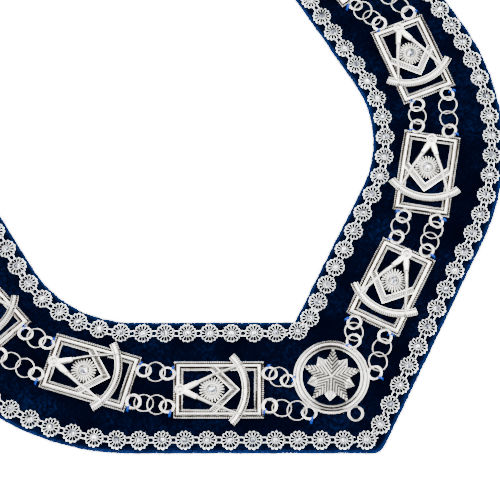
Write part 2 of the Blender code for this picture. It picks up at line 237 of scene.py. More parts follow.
JEWEL_MOULD = (
    # radius, height, tarnish and painted shade
    (5.50, 0.95, 0.0),
    (5.20, 1.70, 0.0),
    (4.80, 1.85, 0.0),
    (4.50, 1.55, 0.9),
    (4.20, 1.85, 0.0),
    (3.80, 1.65, 0.0),
    (3.50, 0.95, 0.1),
    (3.80, 0.25, 0.4),
    (4.50, 0.00, 0.4),
    (5.20, 0.25, 0.4),
)

# Milling: the step along a frame, with one bead to three steps, and the tarnish and painted shade between the
# beads
MILLING_STEP = 0.48
MILLING_TARNISH_AND_SHADE = 1.0

# The emblem on a plate
ARC_CENTRE = 14.24
ARC_INNER = 29.4
ARC_OUTER = 34.5
ARC_SPREAD = math.radians(44.5)
ARC_STATIONS = 114
SQUARE_OUTSIDE = ((16.3, 2.3), (0.0, -14.0))
SQUARE_INSIDE = ((13.0, 5.6), (0.0, -7.4))
SQUARE_STATIONS = 48
LEG_STEP = 0.6
LEG_SHOULDER = 0.72
LEG_BEAD = 0.07
LEG_BEADED_FROM = 0.5
# Tarnish and painted shade across a compass leg, darkest at its feet and dark on its sides
LEG_TARNISH_AND_SHADE = (1.0, 0.8, 0.0, 0.0, 0.8, 1.0)
LEG_ROWS = (
    # across, along, half width, height, crest as a share of the half width
    (0.60, 22.6, 2.10, 3.35, 0.60),
    (2.50, 18.5, 2.15, 3.45, 0.60),
    (4.70, 14.1, 1.80, 3.45, 0.60),
    (5.20, 13.1, 1.30, 3.70, 0.30),
    (7.20, 8.8, 1.20, 3.70, 0.15),
    (9.35, 4.5, 1.05, 3.70, 0.10),
    (12.60, -4.0, 1.00, 3.70, 0.10),
    (16.20, -13.0, 1.00, 3.70, 0.10),
    (17.30, -15.2, 0.30, 3.20, 0.10),
)
HINGE_PLACE = (0.0, 24.9)
HINGE_SIDES = 28
HINGE_LEVELS = (
    # radius, height, tarnish and painted shade
    (3.50, 0.00, 0.6),
    (3.50, 3.00, 0.0),
    (3.20, 3.40, 0.0),
    (2.50, 3.40, 0.2),
    (2.25, 3.15, 0.9),
    (2.00, 3.45, 0.0),
    (1.20, 3.85, 0.0),
)
SUN_PLACE = (0.0, 4.2)
SUN_RAYS = 24
SUN_WAVE = (1.0, 0.8, -1.0, -1.0)
SUN_LEVELS = (
    # radius, height, tarnish and painted shade, ray
    (8.30, 0.00, 0.7, 0.00),
    (8.30, 1.50, 0.3, 0.10),
    (7.90, 2.10, 0.0, 0.24),
    (6.60, 2.45, 0.0, 0.26),
    (5.20, 2.60, 0.0, 0.14),
    (4.40, 2.65, 0.0, 0.04),
    (3.70, 2.70, 0.0, 0.00),
    (3.50, 2.10, 1.0, 0.00),
    (3.10, 2.10, 1.0, 0.00),
    (2.95, 2.90, 0.0, 0.00),
    (2.60, 3.00, 0.0, 0.00),
    (2.40, 2.60, 0.9, 0.00),
)
SUN_SCALLOP = 0.040
SUN_SCALLOP_SHIFT = 0.3
SUN_SCALLOP_FROM = 7.0
# Tarnish and painted shade in the hollows between the sun's rays
SUN_RAY_TARNISH_AND_SHADE = 1.0
PLATE_STONE_RADIUS = 2.30
PLATE_STONE_HEIGHT = 1.30
PLATE_STONE_SEAT = 2.60
PLATE_STONE_TURN = math.radians(17.0)

# The star: its long points, their ribs, and its short points
STAR_POINTS = 5
STAR_REACH = 20.0
STAR_VALLEY = 8.9
STAR_RIBS = 7
STAR_TOP = 3.40
STAR_TIP_TOP = 2.60
STAR_EDGE_TOP = 2.30
STAR_TIP_FALL = 0.25
# Tarnish and painted shade at the feet of the star's long points
STAR_FOOT_TARNISH_AND_SHADE = 0.6
STAR_RIB_REACH = 0.985
STAR_RIB_DEPTH = 0.20
# Tarnish and painted shade in the floors between the ribs
STAR_RIB_TARNISH_AND_SHADE = 0.92
STAR_RIB_PARTS = (
    # part of a rib's pitch, drop
    (0.00, 0.0),
    (0.22, 0.0),
    (0.30, 1.0),
    (0.92, 1.0),
)
# Tarnish and painted shade across a short point: at its feet and in its furrows
SHORT_POINT_TARNISH_AND_SHADE = (0.7, 0.1, 0.0, 0.5, 0.0, 0.5, 0.0, 0.1, 0.7)
SIDE_RIDGE_ACROSS = 0.62
SIDE_RIDGE_RISE = 0.97
FURROW_ACROSS = 0.32
FURROW_RISE = 0.5
SHORT_POINT_ROWS = (
    # out, half width, ridge height, edge height
    (7.0, 2.6, 2.2, 1.5),
    (11.7, 3.8, 2.2, 1.5),
    (15.8, 0.15, 1.6, 1.2),
)

# The rosettes
ROSETTE_LOBES = 13
ROSETTE_SCALLOP = 0.16
ROSETTE_SCALLOP_FROM = 5.55
ROSETTE_SCALLOP_ROUNDING = 0.6
ROSETTE_PITCH = 0.0145
INNER_STRING_START = -0.0015
OUTER_STRING_START = -0.0037
INNER_STRING_STEPS = (0.0121, 0.0123, 0.0133, 0.0135, 0.0136)
LOBE_ROWS = (
    # radius, height, tarnish and painted shade
    (6.40, 0.20, 0.8),
    (6.40, 0.75, 0.3),
    (6.00, 1.25, 0.0),
    (5.60, 1.40, 0.0),
    (5.20, 1.30, 0.1),
    (4.95, 0.90, 0.4),
    (4.90, 0.20, 0.9),
)
CUP_ROWS = (
    # radius, height, tarnish and painted shade
    (2.60, 0.20, 0.9),
    (2.60, 1.30, 0.6),
    (2.48, 1.90, 0.0),
    (2.20, 2.00, 0.0),
    (2.00, 1.60, 0.9),
    (1.70, 1.40, 1.0),
)
CUP_SIDES = 24
SPOKE_FOOT = 0.3
# Tarnish and painted shade of a spoke, at its foot
SPOKE_TARNISH_AND_SHADE = (0.9, 0.9, 0.0, 0.0)
SPOKE_ROWS = (
    # out, half width, height
    (2.4, 0.20, 1.60),
    (3.6, 0.26, 1.25),
    (5.2, 0.36, 1.25),
)
BEAD_OUT = 5.75
BEAD_SIDES = 6
BEAD_LEVELS = (
    # radius, height, tarnish and painted shade
    (0.50, 1.05, 0.3),
    (0.50, 1.40, 0.0),
    (0.20, 1.75, 0.0),
)

# The two bars from a rosette to each neighbour: reach, place aside, and section
BAR_REACHES = ((-7.3, -5.9), (5.9, 7.3))
BAR_ASIDE = 1.7
BAR_SECTION = (
    # aside, height, tarnish and painted shade
    (-0.33, 0.4, 0.5),
    (0.33, 0.4, 0.5),
    (0.25, 1.1, 0.0),
    (-0.25, 1.1, 0.0),
)
ROSETTE_STONE_RADIUS = 1.80
ROSETTE_STONE_HEIGHT = 1.20
ROSETTE_STONE_SEAT = 1.45
ROSETTE_STONE_TILT = math.radians(8.0)
ROSETTE_STONE_SEED = 3

# The cut of every stone
STONE_ROWS = (
    # share of radius, share of height, sides, twist in sides
    (1.00, 0.00, 12, 0.0),
    (1.00, 0.10, 12, 0.0),
    (0.78, 0.58, 8, 0.5),
    (0.40, 1.00, 8, 0.0),
)

# The threads that hold the loops down
THREAD_DIAMETER = 0.00052
THREAD_TURNS = 3
THREAD_REACH = 0.0025
THREAD_OUT = 0.92
THREAD_ROOT = 0.64
THREAD_STEPS = 9
THREAD_SIDES = 6
THREAD_PACKING = 0.92
THREAD_SLANT = 0.8
THREAD_CURVE = 2.2

# The flank of a loop that its threads cross, on the inner and on the outer strand: -1 is toward the
# neck and 1 away from it
FLANKS = (-1, 1)

# How ragged the band's edges are, and from how much rim of painted sheen
EDGE_RAG = 0.00045
EDGE_RAG_FROM = 0.8
EDGE_RAG_SCALE = 260.0
EDGE_RAG_SEED = 5

# The pile that stands on the band's edges: most lean of a fibre about each axis, and least scale
PILE_LEAN = (0.7, 0.7, 3.1)
PILE_LEAST = 0.45
PILE_SIDES = 3
PILE_LENGTH = 0.0014
PILE_THICKNESS = 0.00014
PILE_DENSITY = 3600000.0
PILE_SEED = 7

# The plated metals: colour where bright, where dull and under tarnish and painted shade, and least and most
# roughness
METALS = {
    "silver": ((0.99, 0.965, 0.92), (0.62, 0.59, 0.545), (0.008, 0.0055, 0.0035), 0.10, 0.26),
    "rosette_silver": ((0.97, 0.97, 0.98), (0.62, 0.62, 0.64), (0.009, 0.009, 0.010), 0.10, 0.26),
    "silver_rings": ((0.78, 0.74, 0.69), (0.34, 0.31, 0.28), (0.008, 0.0055, 0.0035), 0.08, 0.22),
}

# The camera, and the point it looks at
CAMERA_AZIMUTH = math.radians(-30.03)
CAMERA_ELEVATION = math.radians(69.83)
CAMERA_ROLL = math.radians(-1.975)
CAMERA_ASIDE = 0.00146
CAMERA_ALONG = 0.1087
CAMERA_HEIGHT = 0.005
CAMERA_DISTANCE = 1.3286
CAMERA_LENS = 145.08
CAMERA_SENSOR = 36.0
CAMERA_NEAR = 0.01

# The light: the glow of the floor, the colours of the sky at sines of elevation, and how much of the
# panels' light shows as the view turns left or right of the camera's
FLOOR_HALF_SIZE = 3.0
FLOOR_GLOW = 13.0
SKY_STRENGTH = 12.5
SKY_STOPS = (
    (0.00, (0.030, 0.030, 0.031)),
    (0.20, (0.008, 0.008, 0.009)),
    (0.66, (0.008, 0.008, 0.009)),
    (0.84, (0.040, 0.040, 0.040)),
    (0.90, (0.160, 0.160, 0.158)),
    (0.94, (0.850, 0.850, 0.840)),
    (0.965, (0.500, 0.500, 0.495)),
    (0.985, (0.120, 0.120, 0.120)),
    (1.00, (0.060, 0.060, 0.060)),
)
PANEL_STOPS = (
    (0.36, (0.0, 0.0, 0.0)),
    (0.50, (0.4, 0.4, 0.4)),
    (0.80, (1.0, 1.0, 1.0)),
)
PANEL_LIGHT = (0.50, 0.505, 0.52)
LAMPS = (
    # name, place, size, power
    ("key", (0.5, 0.7, 1.3), 0.9, 14.0),
    ("fill", (-1.1, -0.3, 1.0), 0.7, 7.0),
    ("rim", (0.2, -1.3, 0.7), 0.5, 3.0),
)


def ring_radius():
    """Middle line radius of a jump ring."""
    return (RING_DIAMETER - RING_WIRE) / 2


def loop_radius():
    """Middle line radius of a soldered loop."""
    return (LOOP_DIAMETER - LOOP_WIRE) / 2


def longest_hold():
    """Greatest distance between the middles of a loop and a ring that hold each other."""
    return loop_radius() + ring_radius() - (LOOP_WIRE + RING_WIRE) / 2 - 2 * LINK_CLEARANCE


def longest_link():
    """Greatest distance between the middles of two rings that hold each other."""
    return 2 * ring_radius() - RING_WIRE - 2 * LINK_CLEARANCE


def link_tilt():
    """The lean of each link about the chain's way, by which it passes over and under the next."""
    hold = longest_hold()
    reach = (hold ** 2 + loop_radius() ** 2 - ring_radius() ** 2) / (2 * hold)
    crossing = math.sqrt(loop_radius() ** 2 - reach ** 2)
    return math.atan((LOOP_WIRE / 2 + RING_WIRE / 2 + LINK_CLEARANCE) / (2 * crossing))


def metal_floor():
    """Height of the underside of plates, medallion and rosettes."""
    return VELVET_THICKNESS + SEAT


def link_height():
    """Height of the middle of every loop and ring."""
    return metal_floor() + ring_radius() * math.sin(link_tilt()) + RING_WIRE / 2


def star_reach():
    """Where the medallion's rim lies along an arm."""
    return STAR_RING_DIAMETER / 2 + STAR_SET_BACK * math.cos(FRONT_LEAN)


def half_chain():
    """Length of one arm's middle line, to the middle of the nape plate."""
    gaps = sum(gap * RING_DIAMETER + PLATE_LENGTH for gap, _aside, _turn in PLATE_ROWS)
    return star_reach() + gaps - PLATE_LENGTH / 2


def stretches():
    """The stretches of one arm: length and bend, which is one over the radius."""
    side_reach = FRONT_RUN * math.sin(FRONT_LEAN) + SHOULDER_RADIUS * (1 - math.cos(FRONT_LEAN))
    back_reach = side_reach - BACK_RADIUS * (1 - math.cos(BACK_TURN))
    nape_radius = back_reach / math.cos(BACK_TURN)
    shoulder = SHOULDER_RADIUS * FRONT_LEAN
    back = BACK_RADIUS * BACK_TURN
    nape = nape_radius * (math.pi / 2 - BACK_TURN)
    side = half_chain() - FRONT_RUN - shoulder - back - nape
    return (
        (FRONT_RUN, 0.0),
        (shoulder, 1 / SHOULDER_RADIUS),
        (side, 0.0),
        (back, 1 / BACK_RADIUS),
        (nape, 1 / nape_radius),
    )


def walk(along):
    """Point and heading of the right arm's middle line, before the collar is centred."""
    x, y, lean = 0.0, 0.0, FRONT_LEAN
    for length, bend in stretches():
        step = min(along, length)
        if bend:
            x += (math.cos(lean - bend * step) - math.cos(lean)) / bend
            y += (math.sin(lean) - math.sin(lean - bend * step)) / bend
        else:
            x += step * math.sin(lean)
            y += step * math.cos(lean)
        lean -= bend * step
        along -= step
        if along <= 0:
            break
    return Vector((x, y)), lean


def outward(lean):
    """Unit vector away from the neck on the right arm."""
    return Vector((math.cos(lean), -math.sin(lean)))


def middle_shift():
    """Shift along Y that puts the middle of the whole outline over the origin."""
    sharp = VELVET_WIDTH / 2 / math.sin(FRONT_LEAN)
    tip = -sharp + TIP_RADIUS * (1 / math.sin(FRONT_LEAN) - 1)
    nape = walk(half_chain())[0].y + VELVET_WIDTH / 2
    return -(tip + nape) / 2


def place(along, aside):
    """Point beside the right arm's middle line, in the part's own frame, and its heading."""
    point, lean = walk(along)
    point = point + outward(lean) * aside
    point.y += middle_shift()
    return point, lean


def edge_line(aside, corner_radius):
    """Closed line round the collar at one distance aside, right arm up and left arm down."""
    centre_y = middle_shift() + (corner_radius - aside) / math.sin(FRONT_LEAN)
    turn = math.pi / 2 - FRONT_LEAN
    points = []
    for step in range(BAND_STEPS[0]):
        angle = turn * step / BAND_STEPS[0]
        points.append(Vector((corner_radius * math.sin(angle), centre_y - corner_radius * math.cos(angle))))
    first = Vector((corner_radius * math.sin(turn), centre_y - corner_radius * math.cos(turn)))
    start = (first - Vector((0.0, middle_shift()))).dot(Vector((math.sin(FRONT_LEAN), math.cos(FRONT_LEAN))))
    points.append(place(start, aside)[0])
    along = start
    for (length, _bend), count in zip(stretches(), BAND_STEPS[1:]):
        run = length - start
        for step in range(count):
            points.append(place(along + run * (step + 1) / count, aside)[0])
        along += run
        start = 0.0
    points[-1].x = 0.0
    left = [Vector((-point.x, point.y)) for point in reversed(points[1:-1])]
    return points + left


def link_matrix(link):
    """Place of a link, tilted about the chain's way."""
    tilt = link_tilt() * link.sign
    across = Vector((link.aside.x * math.cos(tilt), link.aside.y * math.cos(tilt), math.sin(tilt)))
    along = Vector((link.way.x, link.way.y, 0.0))
    matrix = Matrix((across, along, across.cross(along))).transposed().to_4x4()
    matrix.translation = Vector((link.centre.x, link.centre.y, link_height()))
    return matrix


def star_place():
    """Middle of the medallion."""
    return Vector((0.0, middle_shift() + STAR_SET_BACK))


def star_loops():
    """Middles of the right-hand loops of the medallion, inner and outer strand."""
    reach = STAR_RING_DIAMETER / 2 + LOOP_REACH - LOOP_SINK
    loops = []
    for side in (1, -1):
        offset = Vector((math.cos(STAR_LOOP_TURN), side * math.sin(STAR_LOOP_TURN))) * reach
        loops.append(star_place() + offset)
    return loops


def plate_places():
    """Middle and heading of each right-hand plate from the medallion up, and of the nape plate."""
    along = star_reach()
    places = []
    for gap, aside, turn in PLATE_ROWS:
        along += gap * RING_DIAMETER + PLATE_LENGTH / 2
        point, lean = place(along, aside * VELVET_WIDTH)
        places.append((point, lean + math.radians(turn)))
        along += PLATE_LENGTH / 2
    return places


def plate_loops(spot, end):
    """Middles of a right-hand plate's loops at one end, inner and outer strand."""
    point, lean = spot
    way = Vector((math.sin(lean), math.cos(lean)))
    foot = point + way * (end * (PLATE_LENGTH / 2 + LOOP_REACH))
    return [foot + outward(lean) * (side * LOOP_SPREAD / 2) for side in (-1, 1)]


def strand(start, end, aside_hint):
    """The loop at the start, the rings between, and the loop at the end, tilted by turns."""
    span = (end - start).length
    way = (end - start).normalized()
    aside = Vector((way.y, -way.x))
    if aside.dot(aside_hint) < 0:
        aside = -aside
    count = 1 + max(0, math.ceil((span - 2 * longest_hold()) / longest_link()))
    slack = span / (2 * longest_hold() + (count - 1) * longest_link())
    links = [Link(start, way, aside, 1)]
    for index in range(count):
        reach = (longest_hold() + index * longest_link()) * slack
        links.append(Link(start + way * reach, way, aside, -links[-1].sign))
    links.append(Link(end, way, aside, -links[-1].sign))
    return links


def mirror(point):
    """The same point on the left arm."""
    return Vector((-point.x, point.y))


def mirror_link(link):
    """The same link on the left arm."""
    return Link(mirror(link.centre), mirror(link.way), mirror(link.aside), link.sign)


def right_strands(places):
    """Strands of each gap on the right arm, inner and outer, from the medallion up."""
    starts = [star_loops()] + [plate_loops(spot, 1) for spot in places]
    ends = [plate_loops(spot, -1) for spot in places]
    gaps = []
    for near, far, (_point, lean) in zip(starts, ends, places):
        gaps.append([strand(start, end, outward(lean)) for start, end in zip(near, far)])
    return gaps


def swept(stations, tarnish, closed=True):
    """Body through equal rings of points, with tarnish and painted shade for each point of a ring or of the
    body.
    """
    count = len(stations[0])
    points = [Vector(point) for ring in stations for point in ring]
    faces = []
    for index in range(len(stations) if closed else len(stations) - 1):
        here = index * count
        there = (index + 1) % len(stations) * count
        for corner in range(count):
            after = (corner + 1) % count
            faces.append((here + corner, here + after, there + after, there + corner))
    if not closed:
        faces.append(tuple(range(count)))
        faces.append(tuple(range(len(points) - count, len(points))))
    if len(tarnish) == count:
        tarnish = list(tarnish) * len(stations)
    return Shape(points, faces, list(tarnish))


def milling(index):
    """Up at every third step of a milled edge, down at the two between."""
    return -1 if index % 3 else 1


def milled_tarnish_and_shade(mould, bead):
    """Tarnish and painted shade across a moulding at one station: its own, and more where the milling dips.
    """
    dip = MILLING_TARNISH_AND_SHADE if bead < 0 else 0.0
    return [max(grey, dip if cut else 0.0) for _place, _height, grey, cut in mould]


def turned(levels, sides, centre=(0.0, 0.0), flute=None):
    """Round body through levels of radius, height, and tarnish and painted shade, with flat ends."""
    points = []
    tarnish = []
    for level in levels:
        for index in range(sides):
            angle = 2 * math.pi * index / sides
            radius, height, grey = flute(level, index) if flute else level[:3]
            spot = (centre[0] + radius * math.cos(angle), centre[1] + radius * math.sin(angle))
            points.append(Vector((*spot, height)))
            tarnish.append(grey)
    faces = [tuple(range(sides)), tuple(range(len(points) - sides, len(points)))]
    for row in range(len(levels) - 1):
        for index in range(sides):
            after = (index + 1) % sides
            here = row * sides
            faces.append((here + index, here + after, here + sides + after, here + sides + index))
    return Shape(points, faces, tarnish)


def round_stations(count, section):
    """Rings of points at equal turns about Z, from the radius and height of a section's corners."""
    stations = []
    for index in range(count):
        turn = 2 * math.pi * index / count
        ring = []
        for radius, height in section(index, turn):
            ring.append((radius * math.cos(turn), radius * math.sin(turn), height))
        stations.append(ring)
    return stations


def wire_ring(radius, wire, sides, spread=1.0):
    """A closed ring of wire in the XY plane, round or spread wider than it is high."""
    round_sides, wire_sides = sides
    section = []
    for corner in range(wire_sides):
        lean = 2 * math.pi * corner / wire_sides
        section.append((radius + wire / 2 * spread * math.cos(lean), wire / 2 * math.sin(lean)))
    return swept(round_stations(round_sides, lambda _index, _turn: section), [0.0] * wire_sides)


def scaled(shape, factor):
    """Copy of a part of a casting at another size."""
    return Shape([point * factor for point in shape.points], shape.faces, shape.tarnish)


def moved(shape, matrix):
    """Copy of a part of a casting at a place."""
    return Shape([matrix @ point for point in shape.points], shape.faces, shape.tarnish)


def mesh_of(name, shapes, sharp=SHARP):
    """One mesh of all the shapes, smooth but for its sharp edges, with tarnish and painted shade kept on its
    points.
    """
    work = bmesh.new()
    tarnish = work.verts.layers.float.new("tarnish")
    for shape in shapes:
        corners = []
        for point, grey in zip(shape.points, shape.tarnish):
            corner = work.verts.new(point)
            corner[tarnish] = grey
            corners.append(corner)
        for face in shape.faces:
            work.faces.new([corners[index] for index in face])
    bmesh.ops.recalc_face_normals(work, faces=work.faces)
    mesh = bpy.data.meshes.new(name)
    work.to_mesh(mesh)
    work.free()
    mesh.shade_smooth()
    mesh.set_sharp_from_angle(angle=math.radians(sharp))
    return mesh


def piece(name, mesh, finish, slot, *nodes):
    """A finished piece of the collar, which stands for the solids named."""
    mesh.materials.clear()
    mesh.materials.append(finish)
    item = bpy.data.objects.new(name, mesh)
    bpy.context.collection.objects.link(item)
    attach(item, "root")
    if nodes:
        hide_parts(*nodes)
    return item


def new_tree(name, sockets):
    """Geometry node tree with named inputs, and its first and last node."""
    tree = bpy.data.node_groups.new(name, "GeometryNodeTree")
    tree.interface.new_socket("Geometry", in_out="INPUT", socket_type="NodeSocketGeometry")
    for label, kind in sockets:
        tree.interface.new_socket(label, in_out="INPUT", socket_type="NodeSocket" + kind)
    tree.interface.new_socket("Geometry", in_out="OUTPUT", socket_type="NodeSocketGeometry")
    return tree, tree.nodes.new("NodeGroupInput"), tree.nodes.new("NodeGroupOutput")


def grown(name, base, tree, values):
    """Plain mesh that a node tree makes from a mesh, with the tree's inputs set by their names."""
    holder = bpy.data.objects.new(name, base)
    bpy.context.collection.objects.link(holder)
    modifier = holder.modifiers.new("grow", "NODES")
    modifier.node_group = tree
    for socket in tree.interface.items_tree:
        if socket.in_out == "INPUT" and socket.name in values:
            modifier[socket.identifier] = values[socket.name]
    graph = bpy.context.evaluated_depsgraph_get()
    mesh = bpy.data.meshes.new_from_object(holder.evaluated_get(graph))
    bpy.data.objects.remove(holder)
    mesh.name = name
    return mesh


def wired(tree, *wires):
    """Links each output of a node, by its name, to an input of another."""
    for source, output, target, socket in wires:
        tree.links.new(source.outputs[output], target.inputs[socket])


def close_tree(tree, source, output, first, last):
    """Ends a tree: its instances made real, and the whole given its finish."""
    real = tree.nodes.new("GeometryNodeRealizeInstances")
    paint = tree.nodes.new("GeometryNodeSetMaterial")
    wired(
        tree,
        (source, output, real, "Geometry"),
        (real, "Geometry", paint, "Geometry"),
        (first, "Finish", paint, "Material"),
        (paint, "Geometry", last, "Geometry"),
    )


def string_tree():
    """Copies of an ornament at the points of a line, each turned along it."""
    sockets = (("Ornament", "Object"), ("Tilt", "Float"), ("Seed", "Int"), ("Finish", "Material"))
    tree, first, last = new_tree("String of ornaments", sockets)
    curve = tree.nodes.new("GeometryNodeMeshToCurve")
    tangent = tree.nodes.new("GeometryNodeInputTangent")
    align = tree.nodes.new("FunctionNodeAlignRotationToVector")
    align.axis = "X"
    align.pivot_axis = "Z"
    ornament = tree.nodes.new("GeometryNodeObjectInfo")
    copies = tree.nodes.new("GeometryNodeInstanceOnPoints")
    wired(
        tree,
        (first, "Geometry", curve, "Mesh"),
        (curve, "Curve", copies, "Points"),
        (first, "Ornament", ornament, "Object"),
        (ornament, "Geometry", copies, "Instance"),
        (tangent, "Tangent", align, "Vector"),
    )
    most = tree.nodes.new("ShaderNodeCombineXYZ")
    least = tree.nodes.new("ShaderNodeVectorMath")
    least.operation = "SCALE"
    least.inputs["Scale"].default_value = -1.0
    lean = tree.nodes.new("FunctionNodeRandomValue")
    lean.data_type = "FLOAT_VECTOR"
    euler = tree.nodes.new("FunctionNodeEulerToRotation")
    tilted = tree.nodes.new("FunctionNodeRotateRotation")
    tilted.rotation_space = "LOCAL"
    wired(
        tree,
        (first, "Tilt", most, "X"),
        (first, "Tilt", most, "Y"),
        (most, "Vector", least, "Vector"),
        (least, "Vector", lean, "Min"),
        (most, "Vector", lean, "Max"),
        (first, "Seed", lean, "Seed"),
        (lean, "Value", euler, "Euler"),
        (align, "Rotation", tilted, "Rotation"),
        (euler, "Rotation", tilted, "Rotate By"),
        (tilted, "Rotation", copies, "Rotation"),
    )
    close_tree(tree, copies, "Instances", first, last)
    return tree


def wire_tree():
    """Round wire or thread along each line of a mesh."""
    sockets = (("Diameter", "Float"), ("Sides", "Int"), ("Finish", "Material"))
    tree, first, last = new_tree("Wire along lines", sockets)
    curve = tree.nodes.new("GeometryNodeMeshToCurve")
    half = tree.nodes.new("ShaderNodeMath")
    half.operation = "DIVIDE"
    half.inputs[1].default_value = 2.0
    profile = tree.nodes.new("GeometryNodeCurvePrimitiveCircle")
    tube = tree.nodes.new("GeometryNodeCurveToMesh")
    tube.inputs["Fill Caps"].default_value = True
    smooth = tree.nodes.new("GeometryNodeSetShadeSmooth")
    wired(
        tree,
        (first, "Geometry", curve, "Mesh"),
        (first, "Diameter", half, 0),
        (half, "Value", profile, "Radius"),
        (first, "Sides", profile, "Resolution"),
        (curve, "Curve", tube, "Curve"),
        (profile, "Curve", tube, "Profile Curve"),
        (tube, "Mesh", smooth, "Geometry"),
    )
    close_tree(tree, smooth, "Geometry", first, last)
    return tree


def pile_tree():
    """Short fibres standing on a surface."""
    sizes = tuple((label, "Float") for label in ("Density", "Length", "Thickness"))
    sockets = sizes + (("Seed", "Int"), ("Finish", "Material"))
    tree, first, last = new_tree("Pile", sockets)
    scatter = tree.nodes.new("GeometryNodeDistributePointsOnFaces")
    fibre = tree.nodes.new("GeometryNodeMeshCone")
    fibre.inputs["Vertices"].default_value = PILE_SIDES
    copies = tree.nodes.new("GeometryNodeInstanceOnPoints")
    lean = tree.nodes.new("FunctionNodeRandomValue")
    lean.data_type = "FLOAT_VECTOR"
    lean.inputs["Min"].default_value = [-turn for turn in PILE_LEAN]
    lean.inputs["Max"].default_value = PILE_LEAN
    turn = tree.nodes.new("FunctionNodeRotateRotation")
    turn.rotation_space = "LOCAL"
    to_turn = tree.nodes.new("FunctionNodeEulerToRotation")
    grow = tree.nodes.new("FunctionNodeRandomValue")
    grow.data_type = "FLOAT"
    grow.inputs[RANDOM_MIN].default_value = PILE_LEAST
    grow.inputs[RANDOM_MAX].default_value = 1.0
    wired(
        tree,
        (first, "Geometry", scatter, "Mesh"),
        (first, "Density", scatter, "Density"),
        (first, "Seed", scatter, "Seed"),
        (first, "Seed", lean, "Seed"),
        (first, "Seed", grow, "Seed"),
        (first, "Length", fibre, "Depth"),
        (first, "Thickness", fibre, "Radius Bottom"),
        (scatter, "Points", copies, "Points"),
        (fibre, "Mesh", copies, "Instance"),
        (scatter, "Rotation", turn, "Rotation"),
        (lean, "Value", to_turn, "Euler"),
        (to_turn, "Rotation", turn, "Rotate By"),
        (turn, "Rotation", copies, "Rotation"),
        (grow, "Value", copies, "Scale"),
    )
    close_tree(tree, copies, "Instances", first, last)
    return tree


def line_mesh(name, lines, closed):
    """Mesh of bare lines, from which a tree makes strings and wires."""
    points = []
    edges = []
    for line in lines:
        start = len(points)
        points.extend(line)
        edges.extend((start + index, start + index + 1) for index in range(len(line) - 1))
        if closed:
            edges.append((len(points) - 1, start))
    mesh = bpy.data.meshes.new(name)
    mesh.from_pydata([tuple(point) for point in points], edges, [])
    return mesh


def mottled_group():
    """Patches and specks over a surface: a slow mask, a fine mask and their product."""
    group = bpy.data.node_groups.new("Patches and specks", "ShaderNodeTree")
    for label in ("Patch Scale", "Speck Scale", "Contrast"):
        group.interface.new_socket(label, in_out="INPUT", socket_type="NodeSocketFloat")
    for label in ("Patches", "Specks", "Mixed"):
        group.interface.new_socket(label, in_out="OUTPUT", socket_type="NodeSocketFloat")
    first = group.nodes.new("NodeGroupInput")
    last = group.nodes.new("NodeGroupOutput")
    coordinates = group.nodes.new("ShaderNodeTexCoord")
    values = []
    for label, detail in (("Patch Scale", 4.0), ("Speck Scale", 2.0)):
        texture = group.nodes.new("ShaderNodeTexNoise")
        texture.inputs["Detail"].default_value = detail
        group.links.new(coordinates.outputs["Object"], texture.inputs["Vector"])
        group.links.new(first.outputs[label], texture.inputs["Scale"])
        steep = group.nodes.new("ShaderNodeMath")
        steep.operation = "MULTIPLY_ADD"
        centre = group.nodes.new("ShaderNodeMath")
        centre.operation = "SUBTRACT"
        centre.inputs[1].default_value = 0.5
        group.links.new(texture.outputs["Fac"], centre.inputs[0])
        group.links.new(centre.outputs["Value"], steep.inputs[0])
        group.links.new(first.outputs["Contrast"], steep.inputs[1])
        steep.inputs[2].default_value = 0.5
        steep.use_clamp = True
        values.append(steep.outputs["Value"])
    both = group.nodes.new("ShaderNodeMath")
    both.operation = "MULTIPLY"
    both.use_clamp = True
    group.links.new(values[0], both.inputs[0])
    group.links.new(values[1], both.inputs[1])
    values.append(both.outputs["Value"])
    for value, label in zip(values, ("Patches", "Specks", "Mixed")):
        group.links.new(value, last.inputs[label])
    return group


def new_finish(name):
    """Material with its nodes, its shader and a link maker."""
    finish = bpy.data.materials.new(name)
    finish.use_nodes = True
    return finish, finish.node_tree.nodes, finish.node_tree.links, finish.node_tree.nodes["Principled BSDF"]


def mottled(nodes, group, patch, speck, contrast):
    """The patches and specks placed in a material."""
    node = nodes.new("ShaderNodeGroup")
    node.node_tree = group
    node.inputs["Patch Scale"].default_value = patch
    node.inputs["Speck Scale"].default_value = speck
    node.inputs["Contrast"].default_value = contrast
    return node


def ramp(nodes, links, value, stops):
    """Colours along a value."""
    node = nodes.new("ShaderNodeValToRGB")
    while len(node.color_ramp.elements) < len(stops):
        node.color_ramp.elements.new(0.5)
    for element, (position, colour) in zip(node.color_ramp.elements, stops):
        element.position = position
        element.color = (*colour, 1.0)
    links.new(value, node.inputs["Fac"])
    return node.outputs["Color"]


def blend_colours(nodes, links, factor, first, second):
    """Mix of two colours, each a socket or three numbers."""
    node = nodes.new("ShaderNodeMix")
    node.data_type = "RGBA"
    links.new(factor, node.inputs["Factor"])
    for place, colour in zip(MIX_COLOURS, (first, second)):
        socket = node.inputs[place]
        if isinstance(colour, tuple):
            socket.default_value = (*colour, 1.0)
        else:
            links.new(colour, socket)
    return node.outputs[MIX_RESULT]


def bump(nodes, links, shader, height, strength, distance):
    """Fine relief on a shader."""
    node = nodes.new("ShaderNodeBump")
    node.inputs["Strength"].default_value = strength
    node.inputs["Distance"].default_value = distance
    links.new(height, node.inputs["Height"])
    links.new(node.outputs["Normal"], shader.inputs["Normal"])


